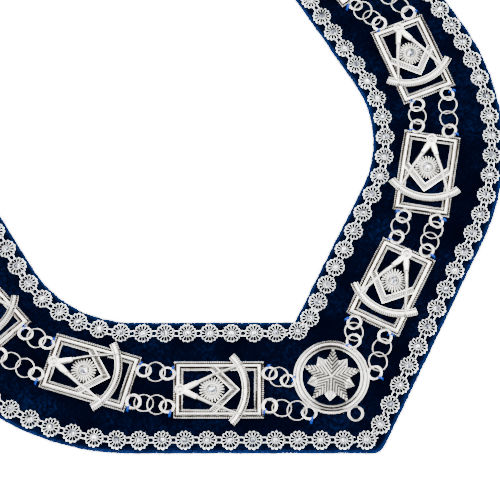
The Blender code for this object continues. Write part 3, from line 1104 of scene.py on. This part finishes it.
def velvet_finish(group):
    """Crushed navy velvet, with painted sheen: royal blue painted where the pile is seen from its side."""
    finish, nodes, links, shader = new_finish("velvet")
    patches = mottled(nodes, group, patch=30.0, speck=500.0, contrast=2.0)
    deep = ramp(nodes, links, patches.outputs["Mixed"], (
        (0.0, (0.0002, 0.0005, 0.0024)),
        (0.30, (0.0003, 0.0010, 0.0060)),
        (1.0, (0.0010, 0.0058, 0.0380)),
    ))
    # Painted sheen: the rim attribute paints the band's edges a lighter royal blue, where velvet catches
    # light at grazing angles
    rim = nodes.new("ShaderNodeAttribute")
    rim.attribute_name = "rim"
    royal = ramp(nodes, links, patches.outputs["Specks"], (
        (0.0, (0.0005, 0.0024, 0.016)),
        (1.0, (0.0018, 0.0110, 0.075)),
    ))
    links.new(blend_colours(nodes, links, rim.outputs["Fac"], deep, royal), shader.inputs["Base Color"])
    shader.inputs["Roughness"].default_value = 0.95
    shader.inputs["Specular IOR Level"].default_value = 0.0
    shader.inputs["Sheen Weight"].default_value = 0.06
    shader.inputs["Sheen Roughness"].default_value = 0.35
    shader.inputs["Sheen Tint"].default_value = (0.05, 0.16, 0.75, 1.0)
    bump(nodes, links, shader, patches.outputs["Specks"], strength=0.7, distance=0.0004)
    return finish


def pile_finish(group):
    """Royal blue fibres at the edges of the band, painted brighter than the velvet as painted sheen."""
    finish, nodes, links, shader = new_finish("edge_pile")
    patches = mottled(nodes, group, patch=60.0, speck=900.0, contrast=3.0)
    # Painted sheen: the fibres' bright blue stands in for the light the edge pile catches
    colour = ramp(nodes, links, patches.outputs["Patches"], (
        (0.0, (0.0010, 0.0050, 0.035)),
        (1.0, (0.0035, 0.0220, 0.130)),
    ))
    links.new(colour, shader.inputs["Base Color"])
    shader.inputs["Roughness"].default_value = 0.8
    shader.inputs["Specular IOR Level"].default_value = 0.2
    return finish


def metal_finish(name, group):
    """Plated metal, its recesses dark with tarnish and with painted shade."""
    bright, dull, tarnish, low, high = METALS[name]
    finish, nodes, links, shader = new_finish(name)
    patches = mottled(nodes, group, patch=240.0, speck=1500.0, contrast=2.2)
    # The tarnish attribute paints recesses, grooves and feet dark: partly tarnish, partly painted shade where
    # little light reaches
    recess = nodes.new("ShaderNodeAttribute")
    recess.attribute_name = "tarnish"
    plated = blend_colours(nodes, links, patches.outputs["Patches"], bright, dull)
    tarnished_and_shaded = blend_colours(nodes, links, recess.outputs["Fac"], plated, tarnish)
    links.new(tarnished_and_shaded, shader.inputs["Base Color"])
    rough = nodes.new("ShaderNodeMapRange")
    rough.inputs["To Min"].default_value = low
    rough.inputs["To Max"].default_value = high
    links.new(patches.outputs["Mixed"], rough.inputs["Value"])
    links.new(rough.outputs["Result"], shader.inputs["Roughness"])
    shader.inputs["Metallic"].default_value = 1.0
    bump(nodes, links, shader, patches.outputs["Specks"], strength=0.12, distance=0.0001)
    return finish


def stone_finish(group):
    """Clear cut stone on bright foil, each facet painted light or dark as painted reflection."""
    finish, nodes, links, shader = new_finish("crystal")
    patches = mottled(nodes, group, patch=330.0, speck=2500.0, contrast=6.0)
    # Painted reflection: noise patches paint the facets from near black to white, as the glints and dark
    # facets of a cut stone
    colour = ramp(nodes, links, patches.outputs["Patches"], (
        (0.0, (0.04, 0.05, 0.08)),
        (0.3, (0.10, 0.12, 0.18)),
        (0.6, (0.75, 0.79, 0.88)),
        (1.0, (1.00, 1.00, 1.00)),
    ))
    links.new(colour, shader.inputs["Base Color"])
    shader.inputs["Metallic"].default_value = 0.85
    shader.inputs["Roughness"].default_value = 0.04
    shader.inputs["IOR"].default_value = 1.6
    shader.inputs["Coat Weight"].default_value = 1.0
    shader.inputs["Coat Roughness"].default_value = 0.02
    return finish


def thread_finish(group):
    """Royal blue twisted thread."""
    finish, nodes, links, shader = new_finish("thread")
    patches = mottled(nodes, group, patch=900.0, speck=4000.0, contrast=2.5)
    colour = ramp(nodes, links, patches.outputs["Specks"], (
        (0.0, (0.002, 0.018, 0.22)),
        (1.0, (0.005, 0.050, 0.46)),
    ))
    links.new(colour, shader.inputs["Base Color"])
    shader.inputs["Roughness"].default_value = 0.7
    shader.inputs["Specular IOR Level"].default_value = 0.2
    bump(nodes, links, shader, patches.outputs["Specks"], strength=0.4, distance=0.0001)
    return finish


def band_columns():
    """Columns of the velvet's section, from the underside round: aside, height, rim of painted sheen."""
    half = VELVET_WIDTH / 2 / MM
    inner = [(-half + inset, height, rim) for inset, height, rim in BAND_ROWS]
    outer = [(-aside, height, rim) for aside, height, rim in reversed(inner)]
    left = inner[-1][0]
    middle = []
    for index in range(1, BAND_MIDDLE_COLUMNS):
        middle.append((left - 2 * left * index / BAND_MIDDLE_COLUMNS, inner[-1][1], 0.0))
    return inner + middle + outer


def band_lines(columns):
    """One closed line round the collar for each column, in part coordinates."""
    # Without a seed the vector noise starts from the clock and differs on every run
    noise.seed_set(EDGE_RAG_SEED)
    half = VELVET_WIDTH / 2
    lines = []
    for aside, height, rim in columns:
        share = (aside * MM + half) / VELVET_WIDTH
        corner = NOTCH_RADIUS + (TIP_RADIUS - NOTCH_RADIUS) * share
        line = []
        for point in edge_line(aside * MM, corner):
            swell = 0.0
            shift = Vector((0.0, 0.0, 0.0))
            if height > WAVE_FLOOR:
                swell = WAVE_HEIGHT * MM * noise.noise(Vector((point.x, point.y, 0.0)) * WAVE_SCALE)
            if rim > EDGE_RAG_FROM:
                shift = noise.noise_vector(Vector((point.x, point.y, 0.0)) * EDGE_RAG_SCALE) * EDGE_RAG
            line.append(Vector((point.x + shift.x, point.y + shift.y, height * MM + swell)))
        lines.append(line)
    return lines


def band_mesh(name, columns, closed):
    """Skin through the lines of the columns, closed to a body or left as a strip."""
    lines = band_lines(columns)
    count = len(lines[0])
    points = [point for line in lines for point in line]
    faces = []
    for column in range(len(lines) if closed else len(lines) - 1):
        here = column * count
        there = (column + 1) % len(lines) * count
        for index in range(count):
            after = (index + 1) % count
            faces.append((here + index, here + after, there + after, there + index))
    mesh = bpy.data.meshes.new(name)
    mesh.from_pydata(points, [], faces)
    rim = mesh.attributes.new("rim", "FLOAT", "POINT")
    rim.data.foreach_set("value", [column[2] for column in columns for _point in range(count)])
    work = bmesh.new()
    work.from_mesh(mesh)
    if closed:
        bmesh.ops.recalc_face_normals(work, faces=work.faces)
    else:
        for face in work.faces:
            face.normal_update()
        if sum(face.normal.z * face.calc_area() for face in work.faces) < 0:
            bmesh.ops.reverse_faces(work, faces=work.faces)
    work.to_mesh(mesh)
    work.free()
    mesh.shade_smooth()
    return mesh


def velvet_band(finish, pile, tree):
    """The velvet and the pile on its edges."""
    columns = band_columns()
    band = piece("velvet", band_mesh("velvet", columns, True), finish, "velvet", "velvet_band")
    count = len(BAND_ROWS)
    values = {
        "Density": PILE_DENSITY,
        "Length": PILE_LENGTH,
        "Thickness": PILE_THICKNESS,
        "Seed": PILE_SEED,
        "Finish": pile,
    }
    pieces = []
    for name, edge in (("inner_edge_pile", columns[1:count - 1]), ("outer_edge_pile", columns[1 - count:-1])):
        mesh = grown(name, band_mesh(name + "_base", edge, False), tree, values)
        pieces.append(piece(name, mesh, pile, "velvet"))
    return band, pieces


def string_points(aside, corner_radius, start, steps):
    """Middles of the rosettes round one string, the first near the point of the V."""
    line = edge_line(aside, corner_radius)
    lengths = [0.0]
    for near, far in zip(line, line[1:] + line[:1]):
        lengths.append(lengths[-1] + (far - near).length)
    whole = lengths[-1]
    marks = [start]
    for step in steps:
        marks.append(marks[-1] + step)
    rest = start + whole - marks[-1]
    count = round(rest / ROSETTE_PITCH)
    marks += [marks[-1] + rest * (index + 1) / count for index in range(count - 1)]
    points = []
    for mark in marks:
        along = mark % whole
        index = max(i for i in range(len(line)) if lengths[i] <= along)
        near, far = line[index], line[(index + 1) % len(line)]
        share = (along - lengths[index]) / (lengths[index + 1] - lengths[index])
        spot = near.lerp(far, share)
        points.append(Vector((spot.x, spot.y, metal_floor())))
    return points


def rosette_rim(_index, angle):
    """Section of the rosette's rim, drawn in between its lobes."""
    lobe = abs(math.cos(ROSETTE_LOBES * angle / 2)) ** ROSETTE_SCALLOP_ROUNDING
    section = []
    for radius, height, _grey in LOBE_ROWS:
        if radius > ROSETTE_SCALLOP_FROM:
            radius *= 1 - ROSETTE_SCALLOP + ROSETTE_SCALLOP * lobe
        section.append((radius, height))
    return section


def rosette_spoke():
    """A spoke, narrow on top, from the rosette's cup out to its rim."""
    stations = []
    for out, wide, high in SPOKE_ROWS:
        stations.append((
            (out, -wide, SPOKE_FOOT),
            (out, wide, SPOKE_FOOT),
            (out, wide / 2, high),
            (out, -wide / 2, high),
        ))
    return swept(stations, SPOKE_TARNISH_AND_SHADE, closed=False)


def rosette_bar(side, reach):
    """One bar of the link between two rosettes."""
    stations = []
    for out in reach:
        stations.append([(out, side * BAR_ASIDE + aside, height) for aside, height, _grey in BAR_SECTION])
    return swept(stations, [row[2] for row in BAR_SECTION], closed=False)


def rosette_shapes():
    """A rosette: scalloped openwork rim, cup, spokes, beads, and the bars to its neighbours."""
    rim = round_stations(4 * ROSETTE_LOBES, rosette_rim)
    shapes = [swept(rim, [row[2] for row in LOBE_ROWS]), turned(CUP_ROWS, CUP_SIDES)]
    for lobe in range(ROSETTE_LOBES):
        angle = 2 * math.pi * (lobe + 0.5) / ROSETTE_LOBES
        shapes.append(moved(rosette_spoke(), Matrix.Rotation(angle, 4, "Z")))
        bead = turned(BEAD_LEVELS, BEAD_SIDES, (BEAD_OUT, 0.0))
        shapes.append(moved(bead, Matrix.Rotation(angle - math.pi / ROSETTE_LOBES, 4, "Z")))
    for side in (-1, 1):
        for reach in BAR_REACHES:
            shapes.append(rosette_bar(side, reach))
    return [scaled(shape, MM) for shape in shapes]


def cut_stone(name, radius, height, seat):
    """Round stone with a table and rings of facets, from millimetres, at a height over the casting."""
    work = bmesh.new()
    for share, rise, sides, twist in STONE_ROWS:
        reach = radius * share
        for index in range(sides):
            angle = 2 * math.pi * (index + twist) / sides
            corner = (reach * math.cos(angle), reach * math.sin(angle), seat + height * rise)
            work.verts.new(Vector(corner) * MM)
    bmesh.ops.convex_hull(work, input=work.verts)
    bmesh.ops.recalc_face_normals(work, faces=work.faces)
    mesh = bpy.data.meshes.new(name)
    work.to_mesh(mesh)
    work.free()
    return mesh


def rosette_strings(metal, crystal, tree):
    """Both strings of rosettes and their stones."""
    rosette = bpy.data.objects.new("rosette", mesh_of("rosette", rosette_shapes()))
    cut = cut_stone("rosette_stone", ROSETTE_STONE_RADIUS, ROSETTE_STONE_HEIGHT, ROSETTE_STONE_SEAT)
    stone = bpy.data.objects.new("rosette_stone", cut)
    for item in (rosette, stone):
        bpy.context.collection.objects.link(item)
    middle = VELVET_WIDTH / 2 - ROSETTE_INSET
    strings = (
        ("inner", -middle, INNER_STRING_CORNER, INNER_STRING_START, INNER_STRING_STEPS),
        ("outer", middle, OUTER_STRING_CORNER, OUTER_STRING_START, ()),
    )
    for side, aside, corner, start, steps in strings:
        name = side + "_rosettes"
        line = line_mesh(name + "_line", [string_points(aside, corner, start, steps)], True)
        values = {"Ornament": rosette, "Tilt": 0.0, "Seed": 0, "Finish": metal}
        mesh = grown(name, line, tree, values)
        piece(name, mesh, metal, "rosette_silver", side + "_rosette_string")
        values = {
            "Ornament": stone,
            "Tilt": ROSETTE_STONE_TILT,
            "Seed": ROSETTE_STONE_SEED,
            "Finish": crystal,
        }
        mesh = grown(name + "_stones", line, tree, values)
        piece(name + "_stones", mesh, crystal, "crystal")
    for item in (rosette, stone):
        bpy.data.objects.remove(item)


def moulded_frame():
    """A plate's mitred frame with its milled beads."""
    half_width = PLATE_WIDTH / 2 / MM
    half_length = PLATE_LENGTH / 2 / MM
    stations = []
    tarnish = []
    corners = ((1, -1), (1, 1), (-1, 1), (-1, -1))
    for side in range(4):
        start, end = corners[side], corners[(side + 1) % 4]
        count = 2 * round((half_length if side % 2 == 0 else half_width) / MILLING_STEP)
        for index in range(count):
            share = index / count
            bead = milling(index) if index else 0
            ring = []
            for inset, height, _grey, cut in FRAME_MOULD:
                x = (half_width - inset) * (start[0] + (end[0] - start[0]) * share)
                y = (half_length - inset) * (start[1] + (end[1] - start[1]) * share)
                ring.append((x, y, height + cut * bead))
            stations.append(ring)
            tarnish += milled_tarnish_and_shade(FRAME_MOULD, bead)
    return swept(stations, tarnish)


def graduated_arc():
    """The arc across a plate's foot, its outer edge milled with degrees."""
    stations = []
    tarnish = []
    for index in range(ARC_STATIONS + 1):
        turn = ARC_SPREAD * (2 * index / ARC_STATIONS - 1)
        bead = milling(index)
        ring = []
        for share, height, _grey, cut in ARC_MOULD:
            radius = ARC_INNER + (ARC_OUTER - ARC_INNER) * share
            ring.append((radius * math.sin(turn), ARC_CENTRE - radius * math.cos(turn), height + cut * bead))
        stations.append(ring)
        tarnish += milled_tarnish_and_shade(ARC_MOULD, bead)
    return swept(stations, tarnish, closed=False)


def square_arms():
    """The square, its two arms mitred at the apex."""
    stations = []
    tarnish = []
    for side in (1, -1):
        for step in range(SQUARE_STATIONS + 1):
            if side < 0 and step == 0:
                continue
            share = step / SQUARE_STATIONS if side > 0 else 1 - step / SQUARE_STATIONS
            outside = Vector(SQUARE_OUTSIDE[0]).lerp(Vector(SQUARE_OUTSIDE[1]), share)
            inside = Vector(SQUARE_INSIDE[0]).lerp(Vector(SQUARE_INSIDE[1]), share)
            bead = milling(step)
            ring = []
            for across, height, _grey, cut in SQUARE_MOULD:
                spot = outside.lerp(inside, across)
                ring.append((side * spot.x, spot.y, height + cut * bead))
            stations.append(ring)
            tarnish += milled_tarnish_and_shade(SQUARE_MOULD, bead)
    return swept(stations, tarnish, closed=False)


def compass_leg(side):
    """One leg of the compasses, flat above and ridged below its joint."""
    rows = []
    for near, far in zip(LEG_ROWS, LEG_ROWS[1:]):
        length = math.hypot(far[0] - near[0], far[1] - near[1])
        count = max(1, round(length / LEG_STEP))
        for index in range(count):
            share = index / count
            rows.append([a + (b - a) * share for a, b in zip(near, far)])
    rows.append(list(LEG_ROWS[-1]))
    stations = []
    for index, (x, y, wide, height, crest) in enumerate(rows):
        near = rows[max(0, index - 1)]
        far = rows[min(len(rows) - 1, index + 1)]
        way = Vector((far[0] - near[0], far[1] - near[1])).normalized()
        normal = Vector((-way.y, way.x))
        bead = 0.0
        if crest > LEG_BEADED_FROM:
            bead = LEG_BEAD if index % 2 else -LEG_BEAD
        section = (
            (-1.0, 0.0, 0.0),
            (-1.0, LEG_SHOULDER, 0.0),
            (-crest, 1.0, bead),
            (crest, 1.0, bead),
            (1.0, LEG_SHOULDER, 0.0),
            (1.0, 0.0, 0.0),
        )
        ring = []
        for across, rise, lift in section:
            spot = (x + normal.x * wide * across, y + normal.y * wide * across)
            ring.append((side * spot[0], spot[1], height * rise + lift))
        stations.append(ring)
    return swept(stations, LEG_TARNISH_AND_SHADE, closed=False)


def sun_flute(level, index):
    """Radius, height, and tarnish and painted shade of the sun at one of the steps of its rays."""
    radius, height, grey, ray = level
    wave = SUN_WAVE[index % len(SUN_WAVE)]
    if radius > SUN_SCALLOP_FROM:
        radius *= 1 + SUN_SCALLOP * (wave - SUN_SCALLOP_SHIFT)
    return radius, height + ray * wave, max(grey, SUN_RAY_TARNISH_AND_SHADE if ray and wave < 0 else 0.0)


def plate_shapes():
    """All of a plate but its loops, in its own frame."""
    shapes = [
        moulded_frame(),
        graduated_arc(),
        square_arms(),
        turned(SUN_LEVELS, len(SUN_WAVE) * SUN_RAYS, SUN_PLACE, sun_flute),
        compass_leg(1),
        compass_leg(-1),
        turned(HINGE_LEVELS, HINGE_SIDES, HINGE_PLACE),
    ]
    return [scaled(shape, MM) for shape in shapes]


def star_half(turn, hand):
    """Half of a long point of the star, cut with ribs that run along the valley beside it."""
    tip = Vector((STAR_REACH, 0.0))
    half_turn = math.pi / STAR_POINTS
    valley = Vector((math.cos(half_turn), hand * math.sin(half_turn))) * STAR_VALLEY
    marks = []
    for rib in range(STAR_RIBS):
        for part, drop in STAR_RIB_PARTS:
            marks.append(((rib + part) / STAR_RIBS * STAR_RIB_REACH, drop))
    marks.append((STAR_RIB_REACH, 0.0))
    stations = []
    tarnish = []
    for share, drop in marks:
        cut = drop * STAR_RIB_DEPTH
        ridge = STAR_TOP + (STAR_TIP_TOP - STAR_TOP) * share - cut
        edge = STAR_EDGE_TOP + (STAR_TIP_TOP - STAR_TIP_FALL - STAR_EDGE_TOP) * share - cut
        side = valley.lerp(tip, share)
        stations.append((
            (side.x, side.y, 0.0),
            (side.x, side.y, edge),
            (tip.x * share, 0.0, ridge),
            (tip.x * share, 0.0, 0.0),
        ))
        # The floors between the ribs are painted dark: tarnish and painted shade
        grey = drop * STAR_RIB_TARNISH_AND_SHADE
        tarnish += [STAR_FOOT_TARNISH_AND_SHADE, grey, grey, STAR_FOOT_TARNISH_AND_SHADE]
    return moved(swept(stations, tarnish, closed=False), Matrix.Rotation(turn, 4, "Z"))


def short_point(turn):
    """A short point of the star, with a ridge down its middle and one each side."""
    stations = []
    for out, wide, ridge, edge in SHORT_POINT_ROWS:
        low = edge + (ridge - edge) * FURROW_RISE
        high = ridge * SIDE_RIDGE_RISE
        stations.append((
            (out, -wide, 0.0),
            (out, -wide, edge),
            (out, -wide * SIDE_RIDGE_ACROSS, high),
            (out, -wide * FURROW_ACROSS, low),
            (out, 0.0, ridge),
            (out, wide * FURROW_ACROSS, low),
            (out, wide * SIDE_RIDGE_ACROSS, high),
            (out, wide, edge),
            (out, wide, 0.0),
        ))
    return moved(swept(stations, SHORT_POINT_TARNISH_AND_SHADE, closed=False), Matrix.Rotation(turn, 4, "Z"))


def medallion_shapes():
    """The medallion but for its chain loops, in its own frame."""
    rim = STAR_RING_DIAMETER / 2 / MM

    def moulding(index, _turn):
        return [(rim - inset, height + cut * milling(index)) for inset, height, _grey, cut in RING_MOULD]

    tarnish = []
    for index in range(RING_STATIONS):
        tarnish += milled_tarnish_and_shade(RING_MOULD, milling(index))
    shapes = [swept(round_stations(RING_STATIONS, moulding), tarnish)]
    for point in range(STAR_POINTS):
        turn = math.radians(360.0 / STAR_POINTS * point - 90.0)
        shapes += [star_half(turn, 1), star_half(turn, -1)]
        shapes.append(short_point(turn + math.pi / STAR_POINTS))
    loop = round_stations(JEWEL_STATIONS, lambda _index, _turn: [row[:2] for row in JEWEL_MOULD])
    jewel = swept(loop, [row[2] for row in JEWEL_MOULD])
    shapes.append(moved(jewel, Matrix.Translation((0.0, -(rim + JEWEL_DROP), 0.0))))
    return [scaled(shape, MM) for shape in shapes]


def thread_lines(link, end_side, flank):
    """Turns of thread over one flank of a loop, down into the velvet on either side."""
    matrix = link_matrix(link)
    lines = []
    for turn in range(THREAD_TURNS):
        offset = (turn - (THREAD_TURNS - 1) / 2) * THREAD_DIAMETER * THREAD_PACKING
        out = flank * loop_radius() * THREAD_OUT
        root = end_side * (loop_radius() * THREAD_ROOT) + offset
        middle = matrix @ Vector((out, root, 0.0))
        across = Vector((link.aside.x, link.aside.y, 0.0))
        along = Vector((link.way.x, link.way.y, 0.0))
        top = middle.z + (LOOP_WIRE + THREAD_DIAMETER) / 2
        line = []
        for step in range(THREAD_STEPS):
            share = 2 * step / (THREAD_STEPS - 1) - 1
            fall = abs(share) ** THREAD_CURVE
            height = top + (VELVET_THICKNESS - THREAD_DIAMETER - top) * fall
            slant = share * THREAD_DIAMETER * THREAD_SLANT
            spot = middle + across * (share * THREAD_REACH) + along * slant
            line.append(Vector((spot.x, spot.y, height)))
        lines.append(line)
    return lines


def jump_rings(gaps, steel):
    """The rings between the castings of both arms."""
    jump = wire_ring(ring_radius(), RING_WIRE, RING_SIDES)
    for number, gap in enumerate(gaps, 1):
        for strand_name, links in zip(("inner", "outer"), gap):
            for index, right_link in enumerate(links[1:-1], 1):
                for side, link in (("right", right_link), ("left", mirror_link(right_link))):
                    label = "ring_{}_{}_{}_{}".format(side, number, strand_name, index)
                    mesh = mesh_of("jump_" + label, [moved(jump, link_matrix(link))])
                    piece("jump_" + label, mesh, steel, "silver", label)


def medallion(gap, silver):
    """The medallion with its chain loops, and the lines of the threads that hold these."""
    loop = wire_ring(loop_radius(), LOOP_WIRE, LOOP_SIDES, LOOP_SPREAD_WIRE)
    links = []
    for strand_links, flank in zip(gap, FLANKS):
        links += [(strand_links[0], flank), (mirror_link(strand_links[0]), flank)]
    frame = Matrix.Translation((*star_place(), metal_floor()))
    shapes = [moved(shape, frame) for shape in medallion_shapes()]
    shapes += [moved(loop, link_matrix(link)) for link, _flank in links]
    piece("star_medallion", mesh_of("star_medallion", shapes, STAR_SHARP), silver, "silver", "medallion")
    threads = []
    for link, flank in links:
        threads += thread_lines(link, -1, flank)
    return threads


def plate(label, frame, body, links, stone_turn, silver, crystal):
    """A plate with its chain loops and its stone, and the lines of the threads that hold it."""
    loop = wire_ring(loop_radius(), LOOP_WIRE, LOOP_SIDES, LOOP_SPREAD_WIRE)
    shapes = [moved(shape, frame) for shape in body]
    shapes += [moved(loop, link_matrix(link)) for link, _end, _flank in links]
    name = "pierced_plate_" + label
    piece(name, mesh_of(name, shapes, PLATE_SHARP), silver, "silver", "plate_" + label)
    name = "plate_stone_" + label
    stone = cut_stone(name, PLATE_STONE_RADIUS, PLATE_STONE_HEIGHT, PLATE_STONE_SEAT)
    stone.transform(Matrix.Rotation(stone_turn, 4, "Z"))
    stone.transform(Matrix.Translation((SUN_PLACE[0] * MM, SUN_PLACE[1] * MM, 0.0)))
    stone.transform(frame)
    piece(name, stone, crystal, "crystal")
    threads = []
    for link, end, flank in links:
        threads += thread_lines(link, end, flank)
    return threads


def chain(silver, steel, crystal, thread, wire):
    """Rings, medallion, plates, and the threads that hold them to the velvet."""
    places = plate_places()
    gaps = right_strands(places)
    jump_rings(gaps, steel)
    threads = medallion(gaps[0], silver)
    body = plate_shapes()
    for number, (point, lean) in enumerate(places, 1):
        loops = [(links[-1], 1, flank) for links, flank in zip(gaps[number - 1], FLANKS)]
        if number < len(places):
            loops += [(links[0], -1, flank) for links, flank in zip(gaps[number], FLANKS)]
        left_loops = [(mirror_link(link), end, flank) for link, end, flank in loops]
        if number < len(places):
            plates = [("right_{}".format(number), 1, loops), ("left_{}".format(number), -1, left_loops)]
        else:
            plates = [("nape", 1, loops + left_loops)]
        for label, side, links in plates:
            frame = Matrix.Translation((side * point.x, point.y, metal_floor()))
            frame = frame @ Matrix.Rotation(-side * lean, 4, "Z")
            stone_turn = number * PLATE_STONE_TURN
            threads += plate(label, frame, body, links, stone_turn, silver, crystal)
    base = line_mesh("thread_lines", threads, False)
    values = {"Diameter": THREAD_DIAMETER, "Sides": THREAD_SIDES, "Finish": thread}
    piece("blue_threads", grown("blue_threads", base, wire, values), thread, "thread")


def camera_target():
    """The point the camera looks at, in the neck opening near the point of the V."""
    return Vector((CAMERA_ASIDE, middle_shift() + CAMERA_ALONG, CAMERA_HEIGHT))


def pale_floor():
    """A pale floor that glows, so that the collar casts hardly any shadow on it."""
    work = bmesh.new()
    bmesh.ops.create_grid(work, x_segments=2, y_segments=2, size=FLOOR_HALF_SIZE)
    mesh = bpy.data.meshes.new("floor")
    work.to_mesh(mesh)
    work.free()
    floor = bpy.data.objects.new("floor", mesh)
    bpy.context.collection.objects.link(floor)
    finish, _nodes, _links, shader = new_finish("floor")
    shader.inputs["Base Color"].default_value = (0.93, 0.93, 0.93, 1.0)
    shader.inputs["Roughness"].default_value = 0.9
    shader.inputs["Emission Color"].default_value = (1.0, 1.0, 1.0, 1.0)
    shader.inputs["Emission Strength"].default_value = FLOOR_GLOW
    mesh.materials.append(finish)


def soft_sky():
    """A sky with a bright band high up, and a bright panel left and right."""
    world = bpy.data.worlds.new("studio")
    world.use_nodes = True
    sky = world.node_tree.nodes["Background"]
    sky.inputs["Strength"].default_value = SKY_STRENGTH
    nodes, links = world.node_tree.nodes, world.node_tree.links
    way = nodes.new("ShaderNodeTexCoord")
    parts = nodes.new("ShaderNodeSeparateXYZ")
    links.new(way.outputs["Generated"], parts.inputs["Vector"])
    across = nodes.new("ShaderNodeVectorMath")
    across.operation = "DOT_PRODUCT"
    across.inputs[1].default_value = (math.cos(CAMERA_AZIMUTH), math.sin(CAMERA_AZIMUTH), 0.0)
    links.new(way.outputs["Generated"], across.inputs[0])
    aside = nodes.new("ShaderNodeMath")
    aside.operation = "ABSOLUTE"
    links.new(across.outputs["Value"], aside.inputs[0])
    panels = ramp(nodes, links, aside.outputs["Value"], PANEL_STOPS)
    dome = ramp(nodes, links, parts.outputs["Z"], SKY_STOPS)
    links.new(blend_colours(nodes, links, panels, dome, PANEL_LIGHT), sky.inputs["Color"])
    bpy.context.scene.world = world


def lamps(target):
    """Large weak lamps that face the collar."""
    for name, spot, size, power in LAMPS:
        lamp = bpy.data.lights.new(name, "AREA")
        lamp.size = size
        lamp.energy = power
        item = bpy.data.objects.new(name, lamp)
        item.location = spot
        item.rotation_mode = "QUATERNION"
        item.rotation_quaternion = (target - Vector(spot)).to_track_quat("-Z", "Y")
        bpy.context.collection.objects.link(item)


def photo_camera(target):
    """The camera at the photograph's viewing angle."""
    camera = bpy.data.cameras.new("camera")
    camera.lens = CAMERA_LENS
    camera.sensor_width = CAMERA_SENSOR
    camera.clip_start = CAMERA_NEAR
    item = bpy.data.objects.new("camera", camera)
    away = Vector((
        math.sin(CAMERA_AZIMUTH) * math.cos(CAMERA_ELEVATION),
        -math.cos(CAMERA_AZIMUTH) * math.cos(CAMERA_ELEVATION),
        math.sin(CAMERA_ELEVATION),
    ))
    turn = (-away).to_track_quat("-Z", "Y").to_matrix().to_4x4()
    turn = turn @ Matrix.Rotation(CAMERA_ROLL, 4, "Z")
    item.matrix_world = Matrix.Translation(target + away * CAMERA_DISTANCE) @ turn
    bpy.context.collection.objects.link(item)
    bpy.context.scene.camera = item


def studio():
    """Pale floor, soft light and the camera."""
    target = camera_target()
    pale_floor()
    soft_sky()
    lamps(target)
    photo_camera(target)


def collar():
    """Every piece of the collar with its finish."""
    group = mottled_group()
    velvet = velvet_finish(group)
    pile = pile_finish(group)
    silver = metal_finish("silver", group)
    rosette = metal_finish("rosette_silver", group)
    steel = metal_finish("silver_rings", group)
    crystal = stone_finish(group)
    thread = thread_finish(group)
    band, piles = velvet_band(velvet, pile, pile_tree())
    rosette_strings(rosette, crystal, string_tree())
    chain(silver, steel, crystal, thread, wire_tree())


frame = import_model()
studio()
collar()
